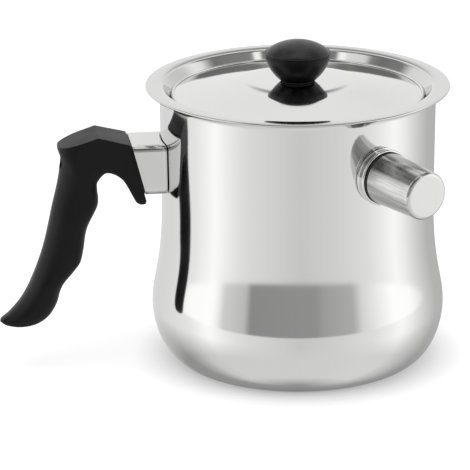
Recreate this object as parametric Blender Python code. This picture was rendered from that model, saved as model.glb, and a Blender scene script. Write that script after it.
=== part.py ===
"""Double-walled milk boiler: a belly-shaped jacket round an inner vessel, a sunk lid with a
mushroom knob, a filler neck closed by a whistle plug, and a moulded grip on a steel ferrule.

Units are metres and +Z is up. The origin is the centre of the underside, on the pot's axis.
The handle points along -X. Profiles are lists of (radius, height).
"""
import math

import bmesh
import bpy
from mathutils import Matrix, Vector

# Clearances
GAP = 0.0003                    # between two pieces that touch
MERGE = 0.000001                # points closer than this are one point
OVERRUN = 0.004                 # how far a cutter runs past what it cuts

# Facets
POT_SEGMENTS = 48
LID_SEGMENTS = 42
FILLER_SEGMENTS = 28
SMALL_SEGMENTS = 16
CURVE_STEPS = 5
BEND_STEPS = 2
NECK_STEPS = 3
MITRE_SHARE = 0.5               # an offset path leaves a sharp corner blunt below this
BIG_BEND = 0.0030               # a bend over this radius gets the finer steps
SHARP_ANGLE = math.radians(35)

# Outer shell: base, belly, waist and neck of the jacket
SHELL_SHEET = 0.0008
POT_HEIGHT = 0.1441
NECK_RADIUS = 0.0701            # under the rim; the pot's other radii follow it
BELLY_SWELL = 0.0050            # belly's widest place outside the neck
BASE_SETBACK = 0.0155           # flat underside inside the belly
BELLY_HEIGHT = 0.0286
BELLY_POWER = 1.82              # 2 would make the belly's lower part an ellipse
WAIST_NARROWING = 0.0005        # waist inside the neck
NECK_LENGTH = 0.0584            # from the rim down to the waist
WAIST_PULL_SHARE = 0.5814       # how far the shoulder's curve holds to the waist
BELLY_PULL_SHARE = 0.2977       # and to the belly

# Inner vessel: rolled rim, flange, sloping well, lid ledge and straight wall
VESSEL_SHEET = 0.0008
RIM_REACH = 0.0071              # rim's outside beyond the neck
RIM_ROLL = 0.0006               # rim's edge curls down, its top flush with the flange
FLANGE_FALL = 0.0002
THROAT_SETBACK = 0.0005         # well's bend, inside the jacket's top edge
THROAT_BEND = 0.0020
WELL_DEPTH = 0.0056
LEDGE_BEND = 0.0010
WATER_SIDE = 0.0096             # vessel's wall inside the neck
VESSEL_CORNER = 0.0100
JACKET_FLOOR = 0.0112           # water space under the inner vessel

# Filler neck, welded to the jacket's wall
FILLER_TURN = math.radians(-63)  # from +X, seen from above
FILLER_DROOP = math.radians(2.3)  # the axis falls outwards
FILLER_DROP = 0.0290            # axis below the pot's rim, where it meets the pot's axis
FILLER_RADIUS = 0.0134
FILLER_WALL = 0.0010
FILLER_WELD = 0.0007
FILLER_STUB = 0.0037            # mouth beyond the neck
FILLER_BEAD = 0.0009

# Whistle plug: silicone sleeve, steel cap and two pierced plates
PLUG_DEPTH = 0.0085
PLUG_FLANGE = 0.0011
PLUG_FLANGE_RADIUS = 0.0133
PLUG_BORE = 0.0080
PLUG_NOSE = 0.0115
PLUG_CHAMFER = 0.0006
CAP_RADIUS = 0.0130
CAP_FRONT_RADIUS = 0.0121
CAP_LENGTH = 0.0309
CAP_EDGE = 0.0021
CAP_SHEET = 0.0006
CAP_SLOT_WIDTH = 0.0110
CAP_SLOT_LENGTH = 0.0026
CAP_SLOT_SETBACK = 0.0080       # slot's middle, behind the cap's face
CAP_SLOT_DEPTH = 0.0024
PLATE_RADIUS = 0.0096
PLATE_SHEET = 0.0006
PLATE_HOLE = 0.0014
WHISTLE_CHAMBER = 0.0030        # space between the two plates
SPACER_WALL = 0.0014

# Lid
LID_SHEET = 0.0007
LID_SETBACK = 0.0061            # lid's edge inside the neck
LID_HEM = 0.0007
LID_HEM_TURN = 170              # degrees at which the hem meets the top of the sheet
LID_SEAT_WIDTH = 0.0010
LID_CROWN = 0.0059
LID_PLAY = 0.0003               # between the lid's edge and the well round it
LID_HOLE = 0.0024

# Knob and its fixing
KNOB_RADIUS = 0.0166
KNOB_FOOT_RADIUS = 0.0094
KNOB_BOWL = 0.0128              # height of the bowl
KNOB_LIP = 0.0003               # how far the lip stands out
KNOB_LIP_HEIGHT = 0.0009
KNOB_LIP_TURN = 60              # degrees at which the lip meets the dome
KNOB_DOME = 0.0060
KNOB_DOME_POWER = 1.5           # over 1, the dome falls away flatter than an ellipse
KNOB_DOME_EDGE = 0.0007
KNOB_GASKET_SHEET = 0.0005
KNOB_GASKET_INSET = 0.0006
INSERT_RADIUS = 0.0036
INSERT_LENGTH = 0.0090
INSERT_SETBACK = 0.0004
KNOB_SCREW_RADIUS = 0.0020
KNOB_SCREW_HEAD_RADIUS = 0.0038
KNOB_SCREW_HEAD = 0.0024
KNOB_WASHER_RADIUS = 0.0056
KNOB_WASHER_SHEET = 0.0008

# Handle: ferrule and bracket
FERRULE_DROP = 0.0261           # ferrule's top below the pot's rim
FERRULE_HEIGHT = 0.0260
FERRULE_WIDTH = 0.0298
FERRULE_SHEET = 0.0010
FERRULE_TOP_EDGE = 0.0027
FERRULE_BOTTOM_EDGE = 0.0050
FERRULE_SLIT = 0.0004           # between the ferrule and the pot
FERRULE_FACET = 0.0035          # longest facet along the ferrule's outline
FERRULE_LENGTH = 0.0159         # along its top, from the neck radius
SEAM_LEAN = math.radians(14.4)
BRACKET_SHEET = 0.0015
BRACKET_WIDTH = 0.0220
BRACKET_MARGIN = 0.0022         # between the bracket's edges and the ferrule's inside
BOSS_RADIUS = 0.0045

# Handle: moulded grip
GRIP_REACH = 0.0680             # from the seam's top to the tip
GRIP_DROP = 0.0968              # from the seam's top to the lowest point
GRIP_SEAM_WIDTH = 0.0268
GRIP_WIDTH = 0.0244
GRIP_STEP = 0.0005              # grip's top above the ferrule's
GRIP_RIDGE_SHARE = 0.2441       # of the reach, from the seam to the ridge of the top
GRIP_RIDGE_RISE = 0.0044
GRIP_BACK_SHARE = 0.5294        # of the reach, from the seam to the back of the top
GRIP_BACK_FALL = 0.0018
GRIP_BLANK = 0.0076             # moulding blank above the two top faces, cut away
SPIGOT_LENGTH = 0.0040

# Handle: screw and washers
HANDLE_SCREW_DROP = 0.0085      # screw's axis below the ferrule's top
HANDLE_SCREW_RADIUS = 0.0025
HANDLE_SCREW_HEAD_RADIUS = 0.0045
HANDLE_SCREW_HEAD = 0.0030
HANDLE_SCREW_TIP = 0.0012       # between the screw's tip and the bracket's plate
COUNTERBORE_SHARE = 0.3897      # of the grip's reach, from the seam to the counterbore's floor
HANDLE_WASHER_RADIUS = 0.0048
HANDLE_WASHER_SHEET = 0.0008
LOCK_WASHER_RADIUS = 0.0043
LOCK_WASHER_SHEET = 0.0011
DRIVE_SLOT_WIDTH = 0.0010
DRIVE_SLOT_DEPTH_SHARE = 0.55
SCREW_CHAMFER_SHARE = 0.25      # of the shank's radius
HEAD_EDGE_SHARE = 0.25          # height of the head's straight edge

# Shares along the grip. The first number of a row is the place along the grip, from seam to tip.
# Finger side: share of the reach, share of the drop below the seam's top. The seam's lean is added
# to the reach and fades out at the lean's place.
GRIP_LEAN_SHARE = 0.16
GRIP_FINGER_SHARES = (
    (0.00, 0.000, 0.312), (0.04, -0.0384, 0.326), (0.08, -0.0381, 0.330), (0.12, -0.0233, 0.318),
    (0.16, -0.004, 0.286), (0.22, 0.072, 0.192), (0.30, 0.185, 0.157), (0.36, 0.250, 0.209),
    (0.40, 0.254, 0.252), (0.44, 0.247, 0.304), (0.48, 0.257, 0.350), (0.55, 0.335, 0.466),
    (0.62, 0.366, 0.588), (0.66, 0.390, 0.652), (0.70, 0.441, 0.700), (0.74, 0.509, 0.756),
    (0.78, 0.543, 0.803), (0.82, 0.574, 0.876), (0.86, 0.635, 0.944), (0.90, 0.725, 0.986),
    (0.94, 0.837, 1.000), (0.97, 0.934, 0.990), (1.00, 0.997, 0.973),
)
# Back: share of the reach, share of the drop below the seam's top.
GRIP_BACK_SHARES = (
    (0.30, 0.300, -0.085), (0.36, 0.470, -0.060), (0.40, 0.540, 0.002), (0.43, 0.524, 0.100),
    (0.46, 0.538, 0.195), (0.52, 0.588, 0.345), (0.62, 0.660, 0.560), (0.74, 0.758, 0.748),
    (0.82, 0.837, 0.850), (0.90, 0.932, 0.926), (0.96, 0.990, 0.957), (1.00, 1.000, 0.968),
)
# Width as a share of the grip's width.
GRIP_WIDTH_SHARES = (
    (0.30, 1.000), (0.55, 0.985), (0.74, 0.950), (0.86, 0.840), (0.92, 0.680), (0.97, 0.420),
    (1.00, 0.100),
)
# Rounding of the back and finger sides: along the section, then across it.
GRIP_ROUND_SHARES = (
    (0.00, 0.05, 0.12, 0.06, 0.22), (0.28, 0.08, 0.15, 0.14, 0.35), (0.38, 0.42, 0.90, 0.26, 0.62),
    (0.50, 0.55, 0.94, 0.34, 0.74), (0.80, 0.52, 0.94, 0.38, 0.80), (0.92, 0.48, 0.94, 0.44, 0.90),
    (1.00, 0.48, 0.94, 0.48, 0.94),
)
GRIP_STATIONS = 42
GRIP_ARC_STEPS = 4

# Shares of the knob's bowl that steer its curve
BOWL_LOW_SHARES = (0.53, 0.27)
BOWL_HIGH_SHARES = (0.90, 0.59)

# Colours, roughness and metallic value of each material
STEEL = ("polished_steel", (0.78, 0.78, 0.77, 1.0), 0.08, 1.0)
INNER_STEEL = ("vessel_steel", (0.74, 0.74, 0.73, 1.0), 0.18, 1.0)
SATIN_STEEL = ("ferrule_steel", (0.72, 0.72, 0.71, 1.0), 0.16, 1.0)
PLAIN_STEEL = ("fastener_steel", (0.55, 0.55, 0.54, 1.0), 0.35, 1.0)
BRASS = ("insert_brass", (0.72, 0.55, 0.25, 1.0), 0.30, 1.0)
ALUMINIUM = ("whistle_aluminium", (0.80, 0.80, 0.80, 1.0), 0.30, 1.0)
PHENOLIC = ("grip_phenolic", (0.012, 0.012, 0.013, 1.0), 0.42, 0.0)
SILICONE = ("plug_silicone", (0.016, 0.016, 0.016, 1.0), 0.60, 0.0)
FIBRE = ("gasket_fibre", (0.020, 0.019, 0.018, 1.0), 0.85, 0.0)


# Sizes worked out from the ones above

WAIST_RADIUS = NECK_RADIUS - WAIST_NARROWING
BELLY_RADIUS = NECK_RADIUS + BELLY_SWELL
BASE_RADIUS = BELLY_RADIUS - BASE_SETBACK
WAIST_HEIGHT = POT_HEIGHT - NECK_LENGTH
SHOULDER = WAIST_HEIGHT - BELLY_HEIGHT
RIM_RADIUS = NECK_RADIUS + RIM_REACH
VESSEL_RADIUS = NECK_RADIUS - WATER_SIDE
LID_RADIUS = NECK_RADIUS - LID_SETBACK
FILLER_HEIGHT = POT_HEIGHT - FILLER_DROP
FILLER_REACH = NECK_RADIUS + FILLER_STUB
FERRULE_TOP = POT_HEIGHT - FERRULE_DROP

FLANGE_HEIGHT = POT_HEIGHT - VESSEL_SHEET / 2
LEDGE_HEIGHT = FLANGE_HEIGHT - FLANGE_FALL - WELL_DEPTH
THROAT_RADIUS = NECK_RADIUS - SHELL_SHEET - THROAT_SETBACK
WELL_FOOT_RADIUS = LID_RADIUS + LID_PLAY
SHELL_TOP = FLANGE_HEIGHT - FLANGE_FALL - VESSEL_SHEET / 2 - GAP
VESSEL_FLOOR = SHELL_SHEET + JACKET_FLOOR + VESSEL_SHEET / 2

FILLER_BORE = FILLER_RADIUS - FILLER_WALL
PLUG_RADIUS = FILLER_BORE - GAP
PLUG_FLANGE_START = FILLER_REACH + GAP
PLUG_FLANGE_END = PLUG_FLANGE_START + PLUG_FLANGE
PLUG_INNER_END = PLUG_FLANGE_START - PLUG_DEPTH
CAP_START = PLUG_FLANGE_END + GAP
CAP_END = CAP_START + CAP_LENGTH
PLATE_SEAT = PLUG_FLANGE_END + PLUG_NOSE - 2 * PLATE_SHEET - WHISTLE_CHAMBER - 3 * GAP

LID_SEAT_HEIGHT = LEDGE_HEIGHT + VESSEL_SHEET / 2 + GAP + LID_SHEET / 2
LID_DOME_RADIUS = LID_RADIUS - 2 * LID_HEM - LID_SEAT_WIDTH
LID_TOP = LID_SEAT_HEIGHT + LID_CROWN + LID_SHEET / 2
GASKET_HEIGHT = LID_TOP + GAP
KNOB_FOOT_HEIGHT = GASKET_HEIGHT + KNOB_GASKET_SHEET + GAP
INSERT_BOTTOM = KNOB_FOOT_HEIGHT + INSERT_SETBACK
KNOB_WASHER_TOP = LID_TOP - LID_SHEET - GAP

SEAM_TOP = NECK_RADIUS + FERRULE_LENGTH
GRIP_TOP = FERRULE_TOP + GRIP_STEP
SCREW_HEIGHT = FERRULE_TOP - HANDLE_SCREW_DROP
GRIP_RIDGE_REACH = GRIP_RIDGE_SHARE * GRIP_REACH
GRIP_BACK_REACH = GRIP_BACK_SHARE * GRIP_REACH
COUNTERBORE_FLOOR = SEAM_TOP + COUNTERBORE_SHARE * GRIP_REACH
SEAM_FOOT = GRIP_TOP - GRIP_FINGER_SHARES[0][2] * GRIP_DROP
SEAM_RUN = (FERRULE_TOP - SEAM_FOOT) * math.tan(SEAM_LEAN) - GAP


def seam_reach(z):
    """Distance of the leaning seam between ferrule and grip from the pot's axis."""
    return SEAM_TOP - (FERRULE_TOP - z) * math.tan(SEAM_LEAN)


BOSS_END = seam_reach(SCREW_HEIGHT - BOSS_RADIUS) - SPIGOT_LENGTH - GAP


def neck_radius(z):
    """Outer radius of the jacket's slightly tapering neck, above the waist."""
    share = (z - WAIST_HEIGHT) / (SHELL_TOP - WAIST_HEIGHT)
    return WAIST_RADIUS + (NECK_RADIUS - WAIST_RADIUS) * share


# Drawing helpers

def arc(centre, radius, start, end, steps):
    """Points of an arc, angles in degrees, both ends included."""
    points = []
    for i in range(steps + 1):
        angle = math.radians(start + (end - start) * i / steps)
        points.append((centre[0] + radius * math.cos(angle), centre[1] + radius * math.sin(angle)))
    return points


def bezier(a, b, c, d, steps):
    """Points of a cubic curve from a to d, steered by b and c."""
    points = []
    for i in range(steps + 1):
        t = i / steps
        weights = ((1 - t) ** 3, 3 * t * (1 - t) ** 2, 3 * t * t * (1 - t), t ** 3)
        points.append(tuple(sum(w * p[k] for w, p in zip(weights, (a, b, c, d))) for k in (0, 1)))
    return points


def rounded(points, radii):
    """A path whose inner corners are replaced by arcs of the given radii."""
    path = [points[0]]
    for before, corner, after, radius in zip(points, points[1:], points[2:], radii):
        to_before = (Vector(before) - Vector(corner)).normalized()
        to_after = (Vector(after) - Vector(corner)).normalized()
        half = to_before.angle(to_after) / 2
        middle = Vector(corner) + (to_before + to_after).normalized() * radius / math.sin(half)
        first = Vector(corner) + to_before * radius / math.tan(half)
        last = Vector(corner) + to_after * radius / math.tan(half)
        start = first - middle
        sweep = start.angle_signed(last - middle)
        steps = CURVE_STEPS if radius > BIG_BEND else BEND_STEPS
        for i in range(steps + 1):
            turned = Matrix.Rotation(-sweep * i / steps, 2) @ start
            path.append(tuple(middle + turned))
    path.append(points[-1])
    return path


def offset(path, distance):
    """The same path moved to its left by a distance."""
    moved = []
    for i, point in enumerate(path):
        before = Vector(path[max(i - 1, 0)])
        after = Vector(path[min(i + 1, len(path) - 1)])
        here = Vector(point)
        sides = []
        for a, b in ((before, here), (here, after)):
            if (b - a).length > MERGE:
                run = (b - a).normalized()
                sides.append(Vector((-run.y, run.x)))
        normal = sum(sides, Vector((0, 0))).normalized()
        reach = distance / max(normal.dot(sides[0]), MITRE_SHARE)
        moved.append(tuple(here + normal * reach))
    return moved


def divided(loop, longest):
    """A closed loop whose long straight runs have points in between."""
    points = []
    for start, end in zip(loop, loop[1:] + loop[:1]):
        a, b = Vector(start), Vector(end)
        parts = math.ceil((b - a).length / longest)
        points += [tuple(a.lerp(b, i / parts)) for i in range(parts)]
    return points


def between(table, place):
    """Smooth values at a place in a table of shares, whose rows start with their own place."""
    rows = [table[0]] + list(table) + [table[-1]]
    if place <= table[0][0]:
        return table[0][1:]
    if place >= table[-1][0]:
        return table[-1][1:]
    k = next(i for i in range(1, len(table)) if rows[i + 1][0] >= place)
    p0, p1, p2, p3 = rows[k - 1], rows[k], rows[k + 1], rows[k + 2]
    span = p2[0] - p1[0]
    t = (place - p1[0]) / span
    values = []
    for j in range(1, len(p1)):
        slope_1 = (p2[j] - p0[j]) / (p2[0] - p0[0]) * span
        slope_2 = (p3[j] - p1[j]) / (p3[0] - p1[0]) * span
        rise = p2[j] - p1[j]
        bend = t * t * (3 - 2 * t)
        values.append(p1[j] + rise * bend + slope_1 * t * (1 - t) ** 2 - slope_2 * t * t * (1 - t))
    return values


# Materials and objects

def material(spec):
    """The material of a piece, made once."""
    name, colour, roughness, metallic = spec
    if name in bpy.data.materials:
        return bpy.data.materials[name]
    made = bpy.data.materials.new(name)
    made.use_nodes = True
    shader = made.node_tree.nodes["Principled BSDF"]
    shader.inputs["Base Color"].default_value = colour
    shader.inputs["Roughness"].default_value = roughness
    shader.inputs["Metallic"].default_value = metallic
    made.diffuse_color = colour
    return made


def finish(name, mesh_data, spec, parent=None):
    """Makes an object from a bmesh, with faces out, round faces smooth and a material."""
    bmesh.ops.recalc_face_normals(mesh_data, faces=mesh_data.faces)
    mesh = bpy.data.meshes.new(name)
    mesh_data.to_mesh(mesh)
    mesh_data.free()
    mesh.shade_smooth()
    mesh.set_sharp_from_angle(angle=SHARP_ANGLE)
    if spec:
        mesh.materials.append(material(spec))
    obj = bpy.data.objects.new(name, mesh)
    bpy.context.scene.collection.objects.link(obj)
    obj.parent = parent
    return obj


def revolve(name, profile, spec, segments, parent=None, closed=False):
    """Spins a profile of (radius, height) points round the local Z axis."""
    bm = bmesh.new()
    verts = [bm.verts.new((r, 0, z)) for r, z in profile]
    pairs = list(zip(verts, verts[1:]))
    if closed:
        pairs.append((verts[-1], verts[0]))
    edges = [bm.edges.new(pair) for pair in pairs]
    bmesh.ops.spin(
        bm, geom=verts + edges, cent=(0, 0, 0), axis=(0, 0, 1), angle=2 * math.pi,
        steps=segments, use_merge=True,
    )
    bmesh.ops.remove_doubles(bm, verts=bm.verts, dist=MERGE)
    bmesh.ops.dissolve_degenerate(bm, edges=bm.edges, dist=MERGE)
    return finish(name, bm, spec, parent)


def loft(name, rings, spec, parent=None, endless=False):
    """Bridges closed rings of equal count, capped at both ends or joined last to first."""
    bm = bmesh.new()
    made = [[bm.verts.new(point) for point in ring] for ring in rings]
    steps = list(zip(made, made[1:]))
    if endless:
        steps.append((made[-1], made[0]))
    else:
        bm.faces.new(made[0])
        bm.faces.new(made[-1])
    for one, other in steps:
        for i in range(len(one)):
            j = (i + 1) % len(one)
            bm.faces.new((one[i], one[j], other[j], other[i]))
    return finish(name, bm, spec, parent)


def cutter(obj):
    """Marks an object as a tool that only cuts or joins."""
    obj.hide_render = True
    obj.display_type = "WIRE"
    return obj


def boolean(obj, tool, operation):
    """Adds an exact Boolean with a marked tool."""
    modifier = obj.modifiers.new(operation.lower() + "_" + tool.name, "BOOLEAN")
    modifier.operation = operation
    modifier.solver = "EXACT"
    modifier.object = cutter(tool)


def rod(name, radius, start, end, spec=None, parent=None):
    """A plain cylinder along the local Z axis."""
    profile = [(0, start), (radius, start), (radius, end), (0, end)]
    return revolve(name, profile, spec, SMALL_SEGMENTS, parent)


def washer(name, radius, hole, start, end, spec, parent=None, segments=SMALL_SEGMENTS):
    """A flat ring along the local Z axis."""
    profile = [(hole, start), (radius, start), (radius, end), (hole, end)]
    return revolve(name, profile, spec, segments, parent, closed=True)


def empty(name, matrix):
    """An empty that carries the pieces of one axis."""
    obj = bpy.data.objects.new(name, None)
    bpy.context.scene.collection.objects.link(obj)
    obj.matrix_world = matrix
    return obj


# Pot

def shell_outline():
    """Outer face of the jacket from the top of its neck down to the edge of its base."""
    points = []
    for i in range(NECK_STEPS):
        z = SHELL_TOP + (WAIST_HEIGHT - SHELL_TOP) * i / NECK_STEPS
        points.append((neck_radius(z), z))
    points += bezier(
        (WAIST_RADIUS, WAIST_HEIGHT),
        (WAIST_RADIUS, WAIST_HEIGHT - WAIST_PULL_SHARE * SHOULDER),
        (BELLY_RADIUS, BELLY_HEIGHT + BELLY_PULL_SHARE * SHOULDER),
        (BELLY_RADIUS, BELLY_HEIGHT),
        2 * CURVE_STEPS,
    )
    power = 2 / BELLY_POWER
    for i in range(1, CURVE_STEPS + 1):
        turn = math.pi / 2 * i / CURVE_STEPS
        out = max(math.cos(turn), 0) ** power
        points.append((
            BASE_RADIUS + (BELLY_RADIUS - BASE_RADIUS) * out,
            BELLY_HEIGHT * (1 - math.sin(turn) ** power),
        ))
    return points


def make_outer_shell(filler_axis):
    """Deep-drawn jacket with a hole where the filler neck is welded on."""
    outer = shell_outline() + [(0, 0)]
    inner = offset(outer, -SHELL_SHEET)
    inner[0] = (inner[0][0], SHELL_TOP)
    inner[-1] = (0, SHELL_SHEET)
    shell = revolve("outer_shell", inner[::-1] + outer, STEEL, POT_SEGMENTS)
    start = WAIST_RADIUS - OVERRUN - FILLER_RADIUS
    hole = rod("filler_hole_cutter", FILLER_BORE, start, FILLER_REACH, parent=filler_axis)
    boolean(shell, hole, "DIFFERENCE")
    return shell


def make_inner_vessel():
    """Milk vessel with the pouring rim, the sloping well and the ledge that carries the lid."""
    path = rounded(
        [
            (RIM_RADIUS - RIM_ROLL, FLANGE_HEIGHT),
            (THROAT_RADIUS, FLANGE_HEIGHT - FLANGE_FALL),
            (WELL_FOOT_RADIUS, LEDGE_HEIGHT),
            (VESSEL_RADIUS - VESSEL_SHEET / 2, LEDGE_HEIGHT),
            (VESSEL_RADIUS - VESSEL_SHEET / 2, VESSEL_FLOOR),
            (0, VESSEL_FLOOR),
        ],
        (THROAT_BEND, LEDGE_BEND, LEDGE_BEND, VESSEL_CORNER),
    )
    under = offset(path, VESSEL_SHEET / 2)
    over = offset(path, -VESSEL_SHEET / 2)
    under[-1] = (0, VESSEL_FLOOR - VESSEL_SHEET / 2)
    over[-1] = (0, VESSEL_FLOOR + VESSEL_SHEET / 2)
    meet = math.degrees(math.asin((VESSEL_SHEET - RIM_ROLL) / RIM_ROLL))
    centre = (RIM_RADIUS - RIM_ROLL, POT_HEIGHT - RIM_ROLL)
    roll = arc(centre, RIM_ROLL, 90, meet - 180, 2 * CURVE_STEPS)
    return revolve("inner_vessel", over[:0:-1] + roll + under[1:], INNER_STEEL, POT_SEGMENTS)


# Filler neck and whistle plug, drawn along the filler's own axis from the pot's axis

def filler_matrix():
    """Local Z runs out along the drooping axis, local X is level and local Y is up."""
    level = Vector((math.cos(FILLER_TURN), math.sin(FILLER_TURN), 0))
    side = Vector((-level.y, level.x, 0))
    out = level * math.cos(FILLER_DROOP) - Vector((0, 0, math.sin(FILLER_DROOP)))
    turn = Matrix((side, out.cross(side), out)).transposed().to_4x4()
    return Matrix.Translation((0, 0, FILLER_HEIGHT)) @ turn


def saddle(radius, angle):
    """Reach at which a circle round the filler's axis meets the jacket's wall."""
    across = radius * math.cos(angle)
    up = radius * math.sin(angle)
    height = FILLER_HEIGHT + up * math.cos(FILLER_DROOP) - NECK_RADIUS * math.sin(FILLER_DROOP)
    wall = neck_radius(height) + GAP
    level = math.sqrt(wall * wall - across * across)
    return (level - up * math.sin(FILLER_DROOP)) / math.cos(FILLER_DROOP)


def make_filler_neck(filler_axis):
    """Short tube with a saddle-shaped foot, a weld fillet and a rolled bead at its mouth."""
    bead = arc(
        (FILLER_RADIUS, FILLER_REACH - FILLER_BEAD), FILLER_BEAD, -90, 90, CURVE_STEPS,
    )
    rings = []
    for i in range(FILLER_SEGMENTS):
        angle = 2 * math.pi * i / FILLER_SEGMENTS
        foot = FILLER_RADIUS + FILLER_WELD
        profile = [(FILLER_BORE, saddle(FILLER_BORE, angle)), (foot, saddle(foot, angle))]
        profile.append((FILLER_RADIUS, saddle(FILLER_RADIUS, angle) + FILLER_WELD))
        profile += bead
        profile.append((FILLER_BORE + GAP, FILLER_REACH))
        profile.append((FILLER_BORE, FILLER_REACH - GAP))
        rings.append([(r * math.cos(angle), r * math.sin(angle), s) for r, s in profile])
    return loft("filler_neck", rings, STEEL, filler_axis, endless=True)


def cap_radius(s):
    """Outer radius of the tapering whistle cap at a reach."""
    share = (s - CAP_START) / (CAP_END - CAP_EDGE - CAP_START)
    return CAP_RADIUS + (CAP_FRONT_RADIUS - CAP_RADIUS) * share


def make_whistle_cap(whistle):
    """Drawn steel cup with a rounded front edge and a steam slot on its underside."""
    front = CAP_END - CAP_EDGE
    outer = [(cap_radius(CAP_START), CAP_START), (cap_radius(front), front)]
    outer += arc((cap_radius(front) - CAP_EDGE, front), CAP_EDGE, 0, 90, CURVE_STEPS)[1:]
    outer.append((0, CAP_END))
    inner = offset(outer, CAP_SHEET)
    inner[0] = (inner[0][0], CAP_START)
    inner[-1] = (0, CAP_END - CAP_SHEET)
    cap = revolve("whistle_cap", inner[::-1] + outer, STEEL, FILLER_SEGMENTS, whistle)
    low = -CAP_RADIUS - OVERRUN
    high = CAP_SLOT_DEPTH - CAP_RADIUS
    middle = CAP_END - CAP_SLOT_SETBACK
    rings = []
    for s in (middle - CAP_SLOT_LENGTH / 2, middle + CAP_SLOT_LENGTH / 2):
        half = CAP_SLOT_WIDTH / 2
        rings.append([(-half, low, s), (half, low, s), (half, high, s), (-half, high, s)])
    boolean(cap, loft("steam_slot_cutter", rings, None, whistle), "DIFFERENCE")
    return cap


def make_whistle_plug(whistle):
    """Silicone sleeve: it seals the neck, carries the cap on its nose and holds the plates."""
    nose_end = PLUG_FLANGE_END + PLUG_NOSE
    seat = PLATE_RADIUS + GAP
    profile = [
        (PLUG_BORE, PLUG_INNER_END),
        (PLUG_RADIUS - PLUG_CHAMFER, PLUG_INNER_END),
        (PLUG_RADIUS, PLUG_INNER_END + PLUG_CHAMFER),
        (PLUG_RADIUS, PLUG_FLANGE_START),
        (PLUG_FLANGE_RADIUS, PLUG_FLANGE_START),
        (PLUG_FLANGE_RADIUS, PLUG_FLANGE_END),
        (cap_radius(CAP_START) - CAP_SHEET - GAP, PLUG_FLANGE_END),
        (cap_radius(nose_end) - CAP_SHEET - GAP, nose_end),
        (seat, nose_end),
        (seat, PLATE_SEAT),
        (PLUG_BORE, PLATE_SEAT),
    ]
    return revolve("whistle_plug", profile, SILICONE, FILLER_SEGMENTS, whistle, closed=True)


def make_whistle_plates(whistle):
    """Two pierced plates held apart by a ring: steam that passes both holes whistles."""
    start = PLATE_SEAT + GAP
    end = start + PLATE_SHEET
    washer("whistle_plate_inner", PLATE_RADIUS, PLATE_HOLE, start, end, ALUMINIUM, whistle)
    start = end + GAP
    end = start + WHISTLE_CHAMBER - 2 * GAP
    washer(
        "whistle_spacer", PLATE_RADIUS, PLATE_RADIUS - SPACER_WALL, start, end, ALUMINIUM, whistle
    )
    start = end + GAP
    end = start + PLATE_SHEET
    washer("whistle_plate_outer", PLATE_RADIUS, PLATE_HOLE, start, end, ALUMINIUM, whistle)


# Lid, drawn round the pot's axis

def make_lid_pan(lid):
    """Domed sheet with a flat seat and a hemmed edge, pierced for the knob's screw."""
    sphere = (LID_DOME_RADIUS ** 2 + LID_CROWN ** 2) / (2 * LID_CROWN)
    path = [(LID_RADIUS - LID_HEM, LID_SEAT_HEIGHT)]
    steps = 2 * CURVE_STEPS
    for i in range(steps + 1):
        r = LID_DOME_RADIUS + (LID_HOLE - LID_DOME_RADIUS) * i / steps
        drop = sphere - math.sqrt(sphere * sphere - r * r)
        path.append((r, LID_SEAT_HEIGHT + LID_CROWN - drop))
    under = offset(path, LID_SHEET / 2)
    over = offset(path, -LID_SHEET / 2)
    under[-1] = (LID_HOLE, under[-1][1])
    over[-1] = (LID_HOLE, over[-1][1])
    centre = (LID_RADIUS - LID_HEM, LID_SEAT_HEIGHT - LID_SHEET / 2 + LID_HEM)
    hem = arc(centre, LID_HEM, LID_HEM_TURN, -90, CURVE_STEPS)
    profile = over[:0:-1] + hem + under[1:]
    return revolve("lid_pan", profile, STEEL, LID_SEGMENTS, lid, closed=True)


def make_lid_knob(lid):
    """Mushroom knob: a curved bowl on a narrow foot, a lip and a low dome, with a blind bore."""
    width = KNOB_RADIUS - KNOB_FOOT_RADIUS
    low = (
        KNOB_FOOT_RADIUS + BOWL_LOW_SHARES[0] * width,
        KNOB_FOOT_HEIGHT + BOWL_LOW_SHARES[1] * KNOB_BOWL,
    )
    high = (
        KNOB_FOOT_RADIUS + BOWL_HIGH_SHARES[0] * width,
        KNOB_FOOT_HEIGHT + BOWL_HIGH_SHARES[1] * KNOB_BOWL,
    )
    bowl_top = KNOB_FOOT_HEIGHT + KNOB_BOWL
    bowl = bezier(
        (KNOB_FOOT_RADIUS, KNOB_FOOT_HEIGHT), low, high, (KNOB_RADIUS, bowl_top), CURVE_STEPS
    )
    lip = KNOB_LIP_HEIGHT / 2
    lip_centre = (KNOB_RADIUS + KNOB_LIP - lip, bowl_top + KNOB_LIP + lip)
    rim = arc(lip_centre, lip, -90, KNOB_LIP_TURN, BEND_STEPS)
    edge = KNOB_RADIUS - KNOB_DOME_EDGE
    dome_foot = rim[-1][1]
    dome = []
    for i in range(CURVE_STEPS + 1):
        turn = math.pi / 2 * i / CURVE_STEPS
        rise = KNOB_DOME * math.sin(turn) ** KNOB_DOME_POWER
        dome.append((edge * math.cos(turn), dome_foot + rise))
    bore = INSERT_RADIUS + GAP
    bore_top = INSERT_BOTTOM + INSERT_LENGTH + GAP
    profile = [(0, bore_top), (bore, bore_top), (bore, KNOB_FOOT_HEIGHT)]
    profile += bowl + rim + dome[:-1] + [(0, dome[-1][1])]
    return revolve("lid_knob", profile, PHENOLIC, 2 * SMALL_SEGMENTS, lid)


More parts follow.
